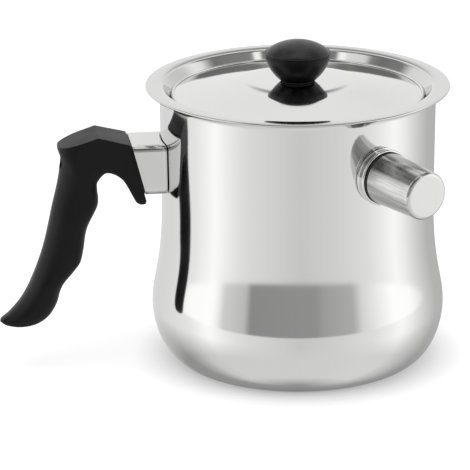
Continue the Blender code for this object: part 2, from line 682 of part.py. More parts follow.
def make_knob_fixing(lid):
    """Gasket, threaded insert, screw and washer that hold the knob on the lid."""
    hole = KNOB_SCREW_RADIUS + GAP
    gasket = KNOB_FOOT_RADIUS - KNOB_GASKET_INSET
    gasket_top = GASKET_HEIGHT + KNOB_GASKET_SHEET
    washer("knob_gasket", gasket, hole, GASKET_HEIGHT, gasket_top, FIBRE, lid)
    insert_top = INSERT_BOTTOM + INSERT_LENGTH
    washer("knob_insert", INSERT_RADIUS, hole, INSERT_BOTTOM, insert_top, BRASS, lid)
    washer_bottom = KNOB_WASHER_TOP - KNOB_WASHER_SHEET
    washer("knob_washer", KNOB_WASHER_RADIUS, hole, washer_bottom, KNOB_WASHER_TOP, PLAIN_STEEL, lid)
    seat = washer_bottom - GAP
    screw = make_screw(
        "knob_screw", KNOB_SCREW_RADIUS, KNOB_SCREW_HEAD_RADIUS, KNOB_SCREW_HEAD,
        insert_top - seat - KNOB_WASHER_SHEET,
    )
    screw.parent = lid
    screw.location = (0, 0, seat)


def make_screw(name, radius, head_radius, head, length):
    """Screw with a domed, slotted head. Its seat is at the local origin and its shank runs up."""
    chamfer = radius * SCREW_CHAMFER_SHARE
    dome = [(head_radius * math.sin(a), -head * math.cos(a)) for a in (0, math.pi / 6, math.pi / 3)]
    profile = dome + [
        (head_radius, -head * HEAD_EDGE_SHARE),
        (head_radius, 0),
        (radius, 0),
        (radius, length - chamfer),
        (radius - chamfer, length),
        (0, length),
    ]
    screw = revolve(name, profile, PLAIN_STEEL, SMALL_SEGMENTS)
    deep = head * DRIVE_SLOT_DEPTH_SHARE - head
    half = DRIVE_SLOT_WIDTH / 2
    rings = []
    for y in (-head_radius - OVERRUN, head_radius + OVERRUN):
        low = -head - OVERRUN
        rings.append([(-half, y, low), (half, y, low), (half, y, deep), (-half, y, deep)])
    boolean(screw, loft(name + "_slot_cutter", rings, None, screw), "DIFFERENCE")
    return screw


# Handle: u is the distance from the pot's axis along the handle, so x = -u

def ferrule_loop(inset):
    """Rounded outline of the ferrule, seen along the handle, as (y, z) points."""
    half = FERRULE_WIDTH / 2 - inset
    top = FERRULE_TOP - inset
    bottom = FERRULE_TOP - FERRULE_HEIGHT + inset
    upper = FERRULE_TOP_EDGE - inset
    lower = FERRULE_BOTTOM_EDGE - inset
    return (
        arc((half - upper, top - upper), upper, 0, 90, BEND_STEPS)
        + arc((upper - half, top - upper), upper, 90, 180, BEND_STEPS)
        + arc((lower - half, bottom + lower), lower, 180, 270, CURVE_STEPS)
        + arc((half - lower, bottom + lower), lower, 270, 360, CURVE_STEPS)
    )


def wall_reach(y, z, clearance):
    """Distance along the handle at which a point beside its axis meets the jacket's wall."""
    wall = neck_radius(z) + clearance
    return math.sqrt(wall * wall - y * y)


def make_handle_ferrule():
    """Steel sleeve between pot and grip: one end fits the round wall, the other the seam."""
    outer = divided(ferrule_loop(0), FERRULE_FACET)
    inner = divided(ferrule_loop(FERRULE_SHEET), FERRULE_FACET)
    rings = [
        [(-wall_reach(y, z, FERRULE_SLIT), y, z) for y, z in outer],
        [(-seam_reach(z), y, z) for y, z in outer],
        [(-seam_reach(z), y, z) for y, z in inner],
        [(-wall_reach(y, z, FERRULE_SLIT), y, z) for y, z in inner],
    ]
    return loft("handle_ferrule", rings, SATIN_STEEL, endless=True)


def handle_matrix():
    """Local Z runs from the back of the grip towards the pot, along the screw."""
    return Matrix.Translation((0, 0, SCREW_HEIGHT)) @ Matrix.Rotation(math.pi / 2, 4, "Y")


def make_handle_bracket(screw_axis):
    """Curved plate welded to the jacket inside the ferrule, with a tapped boss."""
    top = FERRULE_TOP - FERRULE_SHEET - BRACKET_MARGIN
    bottom = FERRULE_TOP - FERRULE_HEIGHT + FERRULE_SHEET + BRACKET_MARGIN
    rings = []
    for i in range(CURVE_STEPS):
        z = bottom + (top - bottom) * i / (CURVE_STEPS - 1)
        ring = []
        for clearance, turn in ((GAP, 1), (GAP + BRACKET_SHEET, -1)):
            for j in range(CURVE_STEPS + 1):
                y = turn * BRACKET_WIDTH * (j / CURVE_STEPS - 1 / 2)
                ring.append((-wall_reach(y, z, clearance), y, z))
        rings.append(ring)
    bracket = loft("handle_bracket", rings, PLAIN_STEEL)
    plate = NECK_RADIUS + GAP + BRACKET_SHEET / 2
    boss = rod("boss_joiner", BOSS_RADIUS, -BOSS_END, -plate, parent=screw_axis)
    boolean(bracket, boss, "UNION")
    bore_end = NECK_RADIUS + GAP + BRACKET_SHEET
    bore_radius = HANDLE_SCREW_RADIUS + GAP
    bore = rod("boss_bore_cutter", bore_radius, -BOSS_END - OVERRUN, -bore_end, parent=screw_axis)
    boolean(bracket, bore, "DIFFERENCE")
    return bracket


def grip_section(place):
    """One closed section of the grip: a slice from its back to its finger side."""
    finger = between(GRIP_FINGER_SHARES, place)
    round_back, round_back_side, round_finger, round_finger_side = between(GRIP_ROUND_SHARES, place)
    fade = max(0, 1 - place / GRIP_LEAN_SHARE) ** 2
    reach = finger[0] * GRIP_REACH - fade * SEAM_RUN
    inner = Vector((SEAM_TOP + reach, GRIP_TOP - finger[1] * GRIP_DROP))
    blank_top = GRIP_TOP + GRIP_BLANK
    ridge_place = GRIP_BACK_SHARES[0][0]
    if place < ridge_place:
        share = place / ridge_place
        first = seam_reach(blank_top) + GAP
        last = SEAM_TOP + GRIP_BACK_SHARES[0][1] * GRIP_REACH
        last_top = GRIP_TOP - GRIP_BACK_SHARES[0][2] * GRIP_DROP
        outer = Vector((first + (last - first) * share, blank_top + (last_top - blank_top) * share))
        half = (GRIP_SEAM_WIDTH + (GRIP_WIDTH - GRIP_SEAM_WIDTH) * share) / 2
    else:
        back = between(GRIP_BACK_SHARES, place)
        outer = Vector((SEAM_TOP + back[0] * GRIP_REACH, GRIP_TOP - back[1] * GRIP_DROP))
        half = GRIP_WIDTH / 2 * between(GRIP_WIDTH_SHARES, place)[0]
    back_arc = corner_arc(round_back, round_back_side)
    finger_arc = [(1 - deep, wide) for deep, wide in corner_arc(round_finger, round_finger_side)]
    side = back_arc + finger_arc[::-1]
    outline = side + [(deep, -wide) for deep, wide in side[::-1]]
    along = inner - outer
    ring = []
    for deep, wide in outline:
        point = outer + along * deep
        ring.append((-point.x, half * wide, point.y))
    return ring


def corner_arc(deep, wide):
    """Quarter ellipse at a section's corner, as shares of its depth and of half its width."""
    points = []
    for i in range(GRIP_ARC_STEPS + 1):
        turn = math.pi / 2 * i / GRIP_ARC_STEPS
        points.append((deep * (1 - math.cos(turn)), 1 - wide * (1 - math.sin(turn))))
    return points


def make_handle_grip(screw_axis):
    """Moulded grip: lofted sections, two flat top faces, a spigot and the screw's bore."""
    rings = [grip_section(i / GRIP_STATIONS) for i in range(GRIP_STATIONS + 1)]
    grip = loft("handle_grip", rings, PHENOLIC)

    half = GRIP_SEAM_WIDTH
    ridge = (SEAM_TOP + GRIP_RIDGE_REACH, GRIP_TOP + GRIP_RIDGE_RISE)
    fall = (GRIP_RIDGE_RISE + GRIP_BACK_FALL) / (GRIP_BACK_REACH - GRIP_RIDGE_REACH)
    rise = GRIP_RIDGE_RISE / GRIP_RIDGE_REACH
    near = ridge[0] - 2 * GRIP_RIDGE_REACH
    far = ridge[0] + GRIP_BACK_REACH
    ceiling = ridge[1] + 2 * GRIP_BLANK
    outline = [
        (near, ridge[1] - rise * (ridge[0] - near)),
        ridge,
        (far, ridge[1] - fall * (far - ridge[0])),
        (far, ceiling),
        (near, ceiling),
    ]
    rings = [[(-u, y, z) for u, z in outline] for y in (-half, half)]
    boolean(grip, loft("grip_top_cutter", rings, None), "DIFFERENCE")

    loop = ferrule_loop(FERRULE_SHEET + GAP)
    root = SPIGOT_LENGTH / 2
    rings = [
        [(SPIGOT_LENGTH - seam_reach(z), y, z) for y, z in loop],
        [(-seam_reach(z) - root, y, z) for y, z in loop],
    ]
    boolean(grip, loft("spigot_joiner", rings, None), "UNION")

    bore_radius = HANDLE_SCREW_RADIUS + GAP
    wide = HANDLE_WASHER_RADIUS + GAP
    back = COUNTERBORE_FLOOR + GRIP_BACK_REACH
    profile = [
        (0, -back),
        (wide, -back),
        (wide, -COUNTERBORE_FLOOR),
        (bore_radius, -COUNTERBORE_FLOOR),
        (bore_radius, -NECK_RADIUS),
        (0, -NECK_RADIUS),
    ]
    bore = revolve("grip_bore_cutter", profile, None, SMALL_SEGMENTS, screw_axis)
    boolean(grip, bore, "DIFFERENCE")
    return grip


def make_handle_fixing(screw_axis):
    """Long screw with a flat washer and a lock washer, in the grip's counterbore."""
    hole = HANDLE_SCREW_RADIUS + GAP
    end = -COUNTERBORE_FLOOR - GAP
    start = end - HANDLE_WASHER_SHEET
    washer("handle_washer", HANDLE_WASHER_RADIUS, hole, start, end, PLAIN_STEEL, screw_axis)
    end = start - GAP
    start = end - LOCK_WASHER_SHEET
    washer("handle_lock_washer", LOCK_WASHER_RADIUS, hole, start, end, PLAIN_STEEL, screw_axis)
    seat = start - GAP
    plate = NECK_RADIUS + GAP + BRACKET_SHEET
    length = -seat - plate - HANDLE_SCREW_TIP
    screw = make_screw(
        "handle_screw", HANDLE_SCREW_RADIUS, HANDLE_SCREW_HEAD_RADIUS, HANDLE_SCREW_HEAD, length
    )
    screw.parent = screw_axis
    screw.location = (0, 0, seat)


def main():
    for obj in list(bpy.data.objects):
        bpy.data.objects.remove(obj)
    filler_axis = empty("filler_axis", filler_matrix())
    whistle_axis = empty("whistle_axis", filler_matrix())
    lid_axis = empty("lid_axis", Matrix.Identity(4))
    screw_axis = empty("handle_screw_axis", handle_matrix())
    make_outer_shell(filler_axis)
    make_inner_vessel()
    make_filler_neck(filler_axis)
    make_whistle_cap(whistle_axis)
    make_whistle_plug(whistle_axis)
    make_whistle_plates(whistle_axis)
    make_lid_pan(lid_axis)
    make_lid_knob(lid_axis)
    make_knob_fixing(lid_axis)
    make_handle_bracket(screw_axis)
    make_handle_ferrule()
    make_handle_grip(screw_axis)
    make_handle_fixing(screw_axis)


main()
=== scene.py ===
"""Looks of the double-walled milk boiler, laid out as an add-on.

Every piece is a surface worked out with numpy on a grid of two parameters and stands for a solid of
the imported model, in the same frame: metres, +Z up, origin at the centre of the underside, handle
along -X. Profiles are arrays of (radius, height).
"""
import math

import bmesh
import bpy
import numpy as np
from bpy.props import FloatProperty, FloatVectorProperty, PointerProperty
from bpy.types import Operator, Panel, PropertyGroup
from mathutils import Matrix, Vector


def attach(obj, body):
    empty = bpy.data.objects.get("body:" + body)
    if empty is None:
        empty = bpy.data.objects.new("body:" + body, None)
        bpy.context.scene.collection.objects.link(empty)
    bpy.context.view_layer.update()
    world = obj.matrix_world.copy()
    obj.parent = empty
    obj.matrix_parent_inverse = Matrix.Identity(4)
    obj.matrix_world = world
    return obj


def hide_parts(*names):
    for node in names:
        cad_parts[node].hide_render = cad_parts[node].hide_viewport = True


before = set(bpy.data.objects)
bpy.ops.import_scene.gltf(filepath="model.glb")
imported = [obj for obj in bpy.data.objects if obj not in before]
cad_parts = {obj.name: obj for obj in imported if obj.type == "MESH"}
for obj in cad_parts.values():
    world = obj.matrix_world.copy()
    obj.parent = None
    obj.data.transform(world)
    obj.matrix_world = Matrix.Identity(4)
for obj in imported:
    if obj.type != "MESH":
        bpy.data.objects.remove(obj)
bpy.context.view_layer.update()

bl_info = {
    "name": "Milk Boiler",
    "version": (1, 0, 0),
    "blender": (4, 5, 0),
    "location": "3D View > Sidebar > Milk Boiler",
    "description": "Builds a polished double-walled milk boiler with a whistle and a moulded handle",
    "category": "Add Mesh",
}

GAP = 0.0003           # between two pieces that touch
MERGE = 0.0000005      # points closer than this become one
OVERRUN = 0.004        # how far a cutter stands out of what it cuts
AROUND = 256           # segments round the pot
AROUND_SMALL = 128     # segments round the small pieces
AROUND_SCREW = 64      # segments round screws and washers
SHARP = math.radians(38)       # edges over this angle stay sharp
FLARE_TURN = math.radians(70)  # how far the jacket's bend under the flange turns
SEAM_GAP = 0.0006      # dark line between ferrule and grip
SHADE_COLLAR_INSET = 0.0004  # grip's black collar brought up into that line, below the ferrule's face: a dark fill standing for the seam's shade
LINE_HEIGHT = 0.00001  # relief of polishing lines
GRAIN_HEIGHT = 0.00003  # relief of moulded grain

# Shares along the grip; the first number of a row is the place along it, from seam to tip.
LEAN_SHARE = 0.16     # how far the seam's lean reaches along the finger side
HEAD_SHARE = 0.44     # part of the grip that gets half of the stations
RIDGE_BLEND = 0.004   # share of the depth over which the two top faces meet
FINGER_SHARES = np.array((
    (0.00, 0.000, 0.312), (0.04, -0.0384, 0.326), (0.08, -0.0381, 0.330), (0.12, -0.0233, 0.318),
    (0.16, -0.004, 0.286), (0.22, 0.072, 0.192), (0.30, 0.185, 0.157), (0.36, 0.250, 0.209),
    (0.40, 0.254, 0.252), (0.44, 0.247, 0.304), (0.48, 0.257, 0.350), (0.55, 0.335, 0.466),
    (0.62, 0.366, 0.588), (0.66, 0.390, 0.652), (0.70, 0.441, 0.700), (0.74, 0.509, 0.756),
    (0.78, 0.543, 0.803), (0.82, 0.574, 0.876), (0.86, 0.635, 0.944), (0.90, 0.725, 0.986),
    (0.94, 0.837, 1.000), (0.97, 0.934, 0.990), (1.00, 0.997, 0.973),
))
BACK_SHARES = np.array((
    (0.30, 0.300, -0.085), (0.36, 0.470, -0.060), (0.40, 0.540, 0.002), (0.43, 0.524, 0.100),
    (0.46, 0.538, 0.195), (0.52, 0.588, 0.345), (0.62, 0.660, 0.560), (0.74, 0.758, 0.748),
    (0.82, 0.837, 0.850), (0.90, 0.932, 0.926), (0.96, 0.990, 0.957), (1.00, 1.000, 0.968),
))
WIDTH_SHARES = np.array((
    (0.30, 1.000), (0.55, 0.985), (0.74, 0.950), (0.86, 0.840), (0.92, 0.680), (0.97, 0.420),
    (1.00, 0.100),
))
ROUND_SHARES = np.array((
    (0.00, 0.05, 0.12, 0.06, 0.22), (0.28, 0.08, 0.15, 0.14, 0.35), (0.38, 0.42, 0.90, 0.26, 0.62),
    (0.50, 0.55, 0.94, 0.34, 0.74), (0.80, 0.52, 0.94, 0.38, 0.80), (0.92, 0.48, 0.94, 0.44, 0.90),
    (1.00, 0.48, 0.94, 0.48, 0.94),
))

# Slope of the lid's crown: share of the way from axis to seat, share of the steepest slope.
CROWN_SLOPES = np.array((
    (0.00, 0.00), (0.30, 0.02), (0.38, 0.15), (0.46, 0.60), (0.54, 1.00), (0.60, 1.00),
    (0.82, 0.89), (0.92, 0.65), (1.00, 0.42),
))

# Curve of the knob's bowl, as shares of its spread and its height, and the power that flattens the dome
BOWL_SHARES = np.array(((0, 0), (0.53, 0.27), (0.90, 0.59), (1, 1)))
DOME_POWER = 1.5

# Rounding of the plug's corners, in plug edges, from its end in the neck to the seat of the plates
PLUG_ROUNDINGS = np.array((3, 6, 1, 4, 4, 1, 4, 3, 1, 3))


# Sizes and colours a user would change

def length(name, default, text):
    """A length in metres."""
    return FloatProperty(name=name, description=text, default=default, precision=5, unit="LENGTH")


def angle(name, degrees, text):
    """An angle, shown in degrees."""
    return FloatProperty(
        name=name, description=text, default=math.radians(degrees), subtype="ANGLE", unit="ROTATION"
    )


def colour(name, default, text):
    """A linear colour."""
    return FloatVectorProperty(
        name=name, description=text, default=default, size=3, min=0, max=1, subtype="COLOR"
    )


class PotSizes(PropertyGroup):
    """Jacket and inner vessel."""
    height: length("Height", 0.1441, "From the floor to the top of the rim")
    base_radius: length("Base radius", 0.0596, "Flat part of the underside")
    belly_radius: length("Belly radius", 0.0751, "Widest place of the jacket")
    belly_height: length("Belly height", 0.0286, "Height of the widest place")
    belly_power: FloatProperty(
        name="Belly power", description="2 makes the lower belly an ellipse", default=1.82
    )
    waist_radius: length("Waist radius", 0.0696, "Narrowest place of the jacket")
    waist_height: length("Waist height", 0.0857, "Height of the narrowest place")
    waist_pull: length("Waist pull", 0.0375, "How far the shoulder holds to the waist")
    belly_pull: length("Belly pull", 0.0135, "How far the shoulder holds to the belly")
    neck_radius: length("Neck radius", 0.0701, "Jacket under the rim")
    neck_flare: length("Neck flare", 0.0042, "Radius of the jacket's bend under the flange")
    sheet: length("Sheet", 0.0008, "Steel thickness")
    rim_radius: length("Rim radius", 0.07719, "Outside of the rim")
    rim_roll: length("Rim roll", 0.0006, "Radius of the edge that curls down")
    flange_fall: length("Flange fall", 0.00034, "How far the flange falls inwards")
    throat_setback: length("Throat setback", 0.0005, "Well's bend, inside the jacket")
    throat_bend: length("Throat bend", 0.0020, "Bend from the flange into the well")
    well_depth: length("Well depth", 0.00546, "From the flange to the lid's ledge")
    ledge_bend: length("Ledge bend", 0.0010, "Bends on both sides of the ledge")
    vessel_radius: length("Vessel radius", 0.0605, "Outside of the inner vessel's wall")
    vessel_corner: length("Vessel corner", 0.0100, "Bend between wall and floor")
    jacket_floor: length("Water below", 0.0112, "Water space under the vessel")


class FillerSizes(PropertyGroup):
    """Filler neck and whistle."""
    turn: angle("Turn", -63, "Direction of the filler, from +X")
    droop: angle("Droop", 2.3, "How far the filler's axis falls outwards")
    height: length("Height", 0.1151, "Height at which the axis leaves the pot's axis")
    radius: length("Neck radius", 0.0134, "Outside of the neck")
    wall: length("Neck wall", 0.0010, "Wall of the neck")
    weld: length("Weld", 0.0007, "Fillet where the neck meets the jacket")
    reach: length("Reach", 0.0738, "Mouth of the neck, from the pot's axis")
    bead: length("Bead", 0.0009, "Radius of the bead at the mouth")
    plug_depth: length("Plug depth", 0.0085, "Length of the plug in the neck")
    plug_flange: length("Plug flange", 0.0011, "Thickness of the plug's flange")
    plug_flange_radius: length("Plug flange radius", 0.0133, "Outside of the flange")
    plug_bore: length("Plug bore", 0.0080, "Steam way through the plug")
    plug_nose: length("Plug nose", 0.0115, "Length of the plug in the cap")
    plug_edge: length("Plug edge", 0.0001, "Rounding of the plug's crisp edges")
    plate_seat: length("Plate seat", 0.0051, "Depth of the seat for the plates")
    plate_radius: length("Plate radius", 0.0096, "Outside of the whistle's plates")
    cap_radius: length("Cap radius", 0.0130, "Cap at its open end")
    cap_front: length("Cap front radius", 0.0121, "Cap at its closed end")
    cap_length: length("Cap length", 0.03085, "Length of the cap")
    cap_edge: length("Cap edge", 0.0021, "Rounding of the closed end")
    cap_sheet: length("Cap sheet", 0.0006, "Steel thickness of the cap")
    slot_width: length("Slot width", 0.0110, "Steam slot under the cap")
    slot_length: length("Slot length", 0.0026, "Steam slot along the cap")
    slot_setback: length("Slot setback", 0.0080, "Slot's middle, behind the face")
    slot_depth: length("Slot depth", 0.0024, "How deep the slot's cutter goes")


class LidSizes(PropertyGroup):
    """Lid and knob."""
    radius: length("Radius", 0.0640, "Outside of the hemmed edge")
    sheet: length("Sheet", 0.0007, "Steel thickness")
    hem: length("Hem", 0.0007, "Radius of the hemmed edge")
    seat_width: length("Seat", 0.0002, "Flat seat inside the hem")
    crown: length("Crown", 0.0059, "Height of the dome over the seat")
    play: length("Play", 0.0003, "Between the lid and the well")
    hole: length("Hole", 0.0024, "Hole for the knob's screw")
    knob_radius: length("Knob radius", 0.0166, "Widest place of the knob")
    foot_radius: length("Foot radius", 0.0094, "Foot of the knob")
    foot_edge: length("Foot edge", 0.0004, "Chamfer under the foot")
    bowl: length("Bowl", 0.0128, "Height of the knob's bowl")
    lip: length("Lip", 0.0003, "How far the lip stands out")
    lip_height: length("Lip height", 0.0009, "Height of the lip")
    dome: length("Dome", 0.0060, "Height of the knob's dome")
    dome_edge: length("Dome edge", 0.0007, "Step from the lip to the dome")
    gasket: length("Gasket", 0.0005, "Gasket under the knob")
    insert_radius: length("Insert radius", 0.0036, "Threaded insert in the knob")
    insert: length("Insert", 0.0094, "Height of the insert")
    screw_radius: length("Screw radius", 0.0020, "Shank of the knob's screw")
    head_radius: length("Head radius", 0.0038, "Head of the knob's screw")
    head: length("Head", 0.0024, "Height of the head")
    washer_radius: length("Washer radius", 0.0056, "Washer under the head")
    washer: length("Washer", 0.0008, "Thickness of the washer")


class HandleSizes(PropertyGroup):
    """Ferrule, grip and screw."""
    ferrule_top: length("Ferrule top", 0.1180, "Height of the ferrule's top")
    ferrule_height: length("Ferrule height", 0.0260, "Top to bottom")
    ferrule_width: length("Ferrule width", 0.0298, "Side to side")
    ferrule_sheet: length("Ferrule sheet", 0.0010, "Steel thickness")
    top_edge: length("Top edge", 0.0027, "Rounding of the upper edges")
    bottom_edge: length("Bottom edge", 0.0050, "Rounding of the lower edges")
    end_edge: length("End edge", 0.0003, "Rounding of the ferrule's two ends")
    slit: length("Slit", 0.0004, "Between ferrule and jacket")
    ferrule_length: length("Ferrule length", 0.0159, "Along the top, from the neck")
    seam_lean: angle("Seam lean", 14.4, "Lean of the seam between ferrule and grip")
    reach: length("Grip reach", 0.0680, "From the seam's top to the tip")
    drop: length("Grip drop", 0.0968, "From the seam's top to the lowest point")
    seam_width: length("Seam width", 0.0268, "Grip's width at the seam")
    width: length("Grip width", 0.0244, "Column's width")
    step: length("Step", 0.0005, "Grip's top above the ferrule's")
    ridge_reach: length("Ridge reach", 0.0166, "From the seam to the ridge")
    ridge_rise: length("Ridge rise", 0.0044, "Ridge above the seam's top")
    back_reach: length("Back reach", 0.0360, "From the seam to the top's back")
    back_fall: length("Back fall", 0.0018, "Top's back below the seam's top")
    blank: length("Blank", 0.0076, "Moulding blank above the top faces")
    edge: length("Edge", 0.0004, "Rounding of the grip's creases")
    spigot: length("Spigot", 0.0040, "Grip's part inside the ferrule")
    screw_drop: length("Screw drop", 0.0085, "Screw's axis below the ferrule's top")
    screw_radius: length("Screw radius", 0.0025, "Shank of the long screw")
    head_radius: length("Head radius", 0.0045, "Head of the long screw")
    head: length("Head", 0.0030, "Height of the head")
    counterbore: length("Counterbore", 0.0265, "Counterbore's floor, from the seam's top")
    washer_radius: length("Washer radius", 0.0048, "Flat washer")
    washer: length("Washer", 0.0008, "Thickness of the flat washer")
    lock_washer: length("Lock washer", 0.0011, "Thickness of the lock washer")
    bracket_sheet: length("Bracket sheet", 0.0015, "Plate welded to the jacket")
    screw_space: length("Screw space", 0.0012, "Between the long screw's end and the plate")


class Finishes(PropertyGroup):
    """Colours of the materials."""
    steel: colour("Polished steel", (0.77, 0.77, 0.765), "Jacket, lid, neck and cap")
    vessel: colour("Vessel steel", (0.70, 0.70, 0.695), "Rim and inside of the vessel")
    ferrule: colour("Ferrule steel", (0.72, 0.72, 0.71), "Ferrule of the handle")
    phenolic: colour("Phenolic", (0.0022, 0.0022, 0.0024), "Grip")
    # Above the lip the knob's material paints this tone lighter: a painted sheen of light from above,
    # not dulling.
    knob: colour("Knob phenolic", (0.0022, 0.0022, 0.0024), "Knob, below its dulled top")
    cap: colour("Brushed steel", (0.54, 0.54, 0.535), "Cap of the whistle")
    silicone: colour("Silicone", (0.012, 0.012, 0.012), "Whistle plug")
    plain: colour("Plain steel", (0.55, 0.55, 0.54), "Screws, washers and bracket")
    brass: colour("Brass", (0.72, 0.55, 0.25), "Insert in the knob")
    aluminium: colour("Aluminium", (0.80, 0.80, 0.80), "Plates of the whistle")
    fibre: colour("Fibre", (0.020, 0.019, 0.018), "Gasket of the knob")


class StudioSettings(PropertyGroup):
    """Camera."""
    azimuth: angle("Azimuth", -9, "Camera's direction round the pot")
    elevation: angle("Elevation", 17.3, "Camera's height over the horizon")
    distance: length("Distance", 1.5243, "Camera to target")
    target: length("Target", 0.09527, "Height of the target on the pot's axis")
    lens: FloatProperty(name="Lens", description="Focal length in millimetres", default=228.2)
    shift_x: FloatProperty(name="Shift X", description="Sideways shift", default=-0.1334)
    shift_y: FloatProperty(name="Shift Y", description="Upward shift", default=-0.1284)


# Profiles and grids

def arc(centre, radius, start, end, count):
    """Circle arc: centre plus radius times (cosine, sine) of evenly spaced angles in degrees."""
    t = np.radians(np.linspace(start, end, count))
    return np.stack([centre[0] + radius * np.cos(t), centre[1] + radius * np.sin(t)], -1)


def line(start, end, count):
    """Evenly spaced points from start to end."""
    t = np.linspace(0, 1, count)[:, None]
    return np.asarray(start) * (1 - t) + np.asarray(end) * t


def bezier(a, b, c, d, count):
    """Cubic curve: the four points weighted by the Bernstein polynomials of the parameter."""
    t = np.linspace(0, 1, count)[:, None]
    points = [np.asarray(p) for p in (a, b, c, d)]
    weights = ((1 - t) ** 3, 3 * t * (1 - t) ** 2, 3 * t * t * (1 - t), t ** 3)
    return sum(w * p for w, p in zip(weights, points))


def rounded(corners, radii, count=10):
    """Polyline whose inner corners become arcs: centre on the bisector, radius over sine away."""
    parts = [np.array([corners[0]])]
    for before, corner, after, radius in zip(corners, corners[1:], corners[2:], radii):
        corner = np.asarray(corner, float)
        a = np.asarray(before) - corner
        b = np.asarray(after) - corner
        a /= np.linalg.norm(a)
        b /= np.linalg.norm(b)
        half = math.acos(np.clip(a @ b, -1, 1)) / 2
        middle = corner + (a + b) / np.linalg.norm(a + b) * radius / math.sin(half)
        first = corner + a * radius / math.tan(half) - middle
        last = corner + b * radius / math.tan(half) - middle
        turn = math.atan2(first[0] * last[1] - first[1] * last[0], first @ last)
        t = np.linspace(0, turn, count)[:, None]
        side = np.array([-first[1], first[0]])
        parts.append(middle + np.cos(t) * first + np.sin(t) * side)
    parts.append(np.array([corners[-1]]))
    return np.concatenate(parts)


def offset(path, distance):
    """Path moved to its left: each point goes along the mean normal of its two neighbours' runs."""
    run = np.diff(path, axis=0)
    run /= np.linalg.norm(run, axis=1)[:, None]
    before = np.concatenate([run[:1], run])
    after = np.concatenate([run, run[-1:]])
    mean = before + after
    mean /= np.linalg.norm(mean, axis=1)[:, None]
    reach = distance / np.clip((mean * before).sum(1), 0.5, 1)
    return path + np.stack([-mean[:, 1], mean[:, 0]], -1) * reach[:, None]


def spun(profile, around=AROUND, matrix=None):
    """Surface of revolution: (radius cos t, radius sin t, height), placed by a matrix."""
    profile = np.asarray(profile, float)
    t = np.linspace(0, 2 * np.pi, around, endpoint=False)
    r, z = profile[:, :1], profile[:, 1:]
    grid = np.stack([r * np.cos(t), r * np.sin(t), z + 0 * t], -1)
    return grid if matrix is None else placed(grid, matrix)


def placed(grid, matrix):
    """Grid times a 4 x 4 matrix."""
    m = np.array(matrix)
    return grid @ m[:3, :3].T + m[:3, 3]


def through(table, places):
    """Smooth curve through rows of (place, values): cubic Hermite with mean slopes."""
    x, y = table[:, 0], table[:, 1:]
    before, after = np.roll(np.arange(len(x)), 1), np.roll(np.arange(len(x)), -1)
    before[0], after[-1] = 0, len(x) - 1
    slope = (y[after] - y[before]) / (x[after] - x[before])[:, None]
    places = np.clip(places, x[0], x[-1])
    k = np.clip(np.searchsorted(x, places, side="right") - 1, 0, len(x) - 2)
    span = (x[k + 1] - x[k])[:, None]
    t = ((places - x[k])[:, None]) / span
    rise = y[k + 1] - y[k]
    return (
        y[k] + rise * t * t * (3 - 2 * t)
        + slope[k] * span * t * (1 - t) ** 2
        - slope[k + 1] * span * t * t * (1 - t)
    )


def block(low, high):
    """Closed box between two corners: four square rings along Z, the outer two drawn to a point."""
    (x0, y0, z0), (x1, y1, z1) = low, high
    corners = np.array([(x0, y0), (x1, y0), (x1, y1), (x0, y1)])
    rings = np.stack([np.column_stack([corners, np.full(4, z)]) for z in (z0, z0, z1, z1)])
    rings[0, :, :2] = rings[3, :, :2] = corners.mean(0)
    return rings


def skin(name, grid, ring=False):
    """Mesh object of a grid: rows along, columns round; ring joins the last row to the first."""
    rows, columns = grid.shape[:2]
    index = np.arange(rows * columns).reshape(rows, columns)
    a = index if ring else index[:-1]
    b = np.roll(index, -1, 0) if ring else index[1:]
    quads = np.stack([a, np.roll(a, -1, 1), np.roll(b, -1, 1), b], -1).reshape(-1, 4)
    mesh = bpy.data.meshes.new(name)
    mesh.from_pydata(grid.reshape(-1, 3), [], quads)
    bm = bmesh.new()
    bm.from_mesh(mesh)
    bmesh.ops.remove_doubles(bm, verts=bm.verts, dist=MERGE)
    bmesh.ops.dissolve_degenerate(bm, edges=bm.edges, dist=MERGE)
    bmesh.ops.recalc_face_normals(bm, faces=bm.faces)
    bm.to_mesh(mesh)
    bm.free()
    piece = bpy.data.objects.new(name, mesh)
    bpy.context.scene.collection.objects.link(piece)
    smooth(piece)
    return piece


def smooth(piece):
    """Smooth faces, with the sharper edges kept."""
    piece.data.shade_smooth()
    piece.data.set_sharp_from_angle(angle=SHARP)


def cut(piece, tool):
    """Takes a tool's solid out of a piece with an exact Boolean, applied at once."""
    modifier = piece.modifiers.new("cut", "BOOLEAN")
    modifier.operation = "DIFFERENCE"
    modifier.solver = "EXACT"
    modifier.object = tool
    graph = bpy.context.evaluated_depsgraph_get()
    shape = bpy.data.meshes.new_from_object(piece.evaluated_get(graph))
    piece.modifiers.clear()
    old = piece.data
    piece.data = shape
    bpy.data.meshes.remove(old)
    bpy.data.objects.remove(tool)
    shape.name = piece.name
    smooth(piece)


def sheet_profile(path, thickness, edge, end):
    """Profile of a bent sheet: back over one side of the path, round its edge, out along the other.

    Both sides finish at the radius of the end point.
    """
    under, over = offset(path, thickness / 2), offset(path, -thickness / 2)
    under[-1, 0] = over[-1, 0] = end
    return np.concatenate([over[:0:-1], edge, under[1:]])


def closed(profile):
    """Profile whose two ends are joined to the axis."""
    return np.concatenate([[(0, profile[0][1])], profile, [(0, profile[-1][1])]])


def fit_out(piece, body, nodes, finish):
    """Hands a piece its body, the solids it stands for and its finish."""
    piece.data.materials.clear()
    piece.data.materials.append(material(finish))
    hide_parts(*nodes)
    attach(piece, body)


# Places worked out from the sizes

def filler_matrix(filler):
    """Local Z runs out along the drooping axis, local X is level and local Y is up."""
    level = Vector((math.cos(filler.turn), math.sin(filler.turn), 0))
    side = Vector((-level.y, level.x, 0))
    out = level * math.cos(filler.droop) - Vector((0, 0, math.sin(filler.droop)))
    turn = Matrix((side, out.cross(side), out)).transposed().to_4x4()
    return Matrix.Translation((0, 0, filler.height)) @ turn


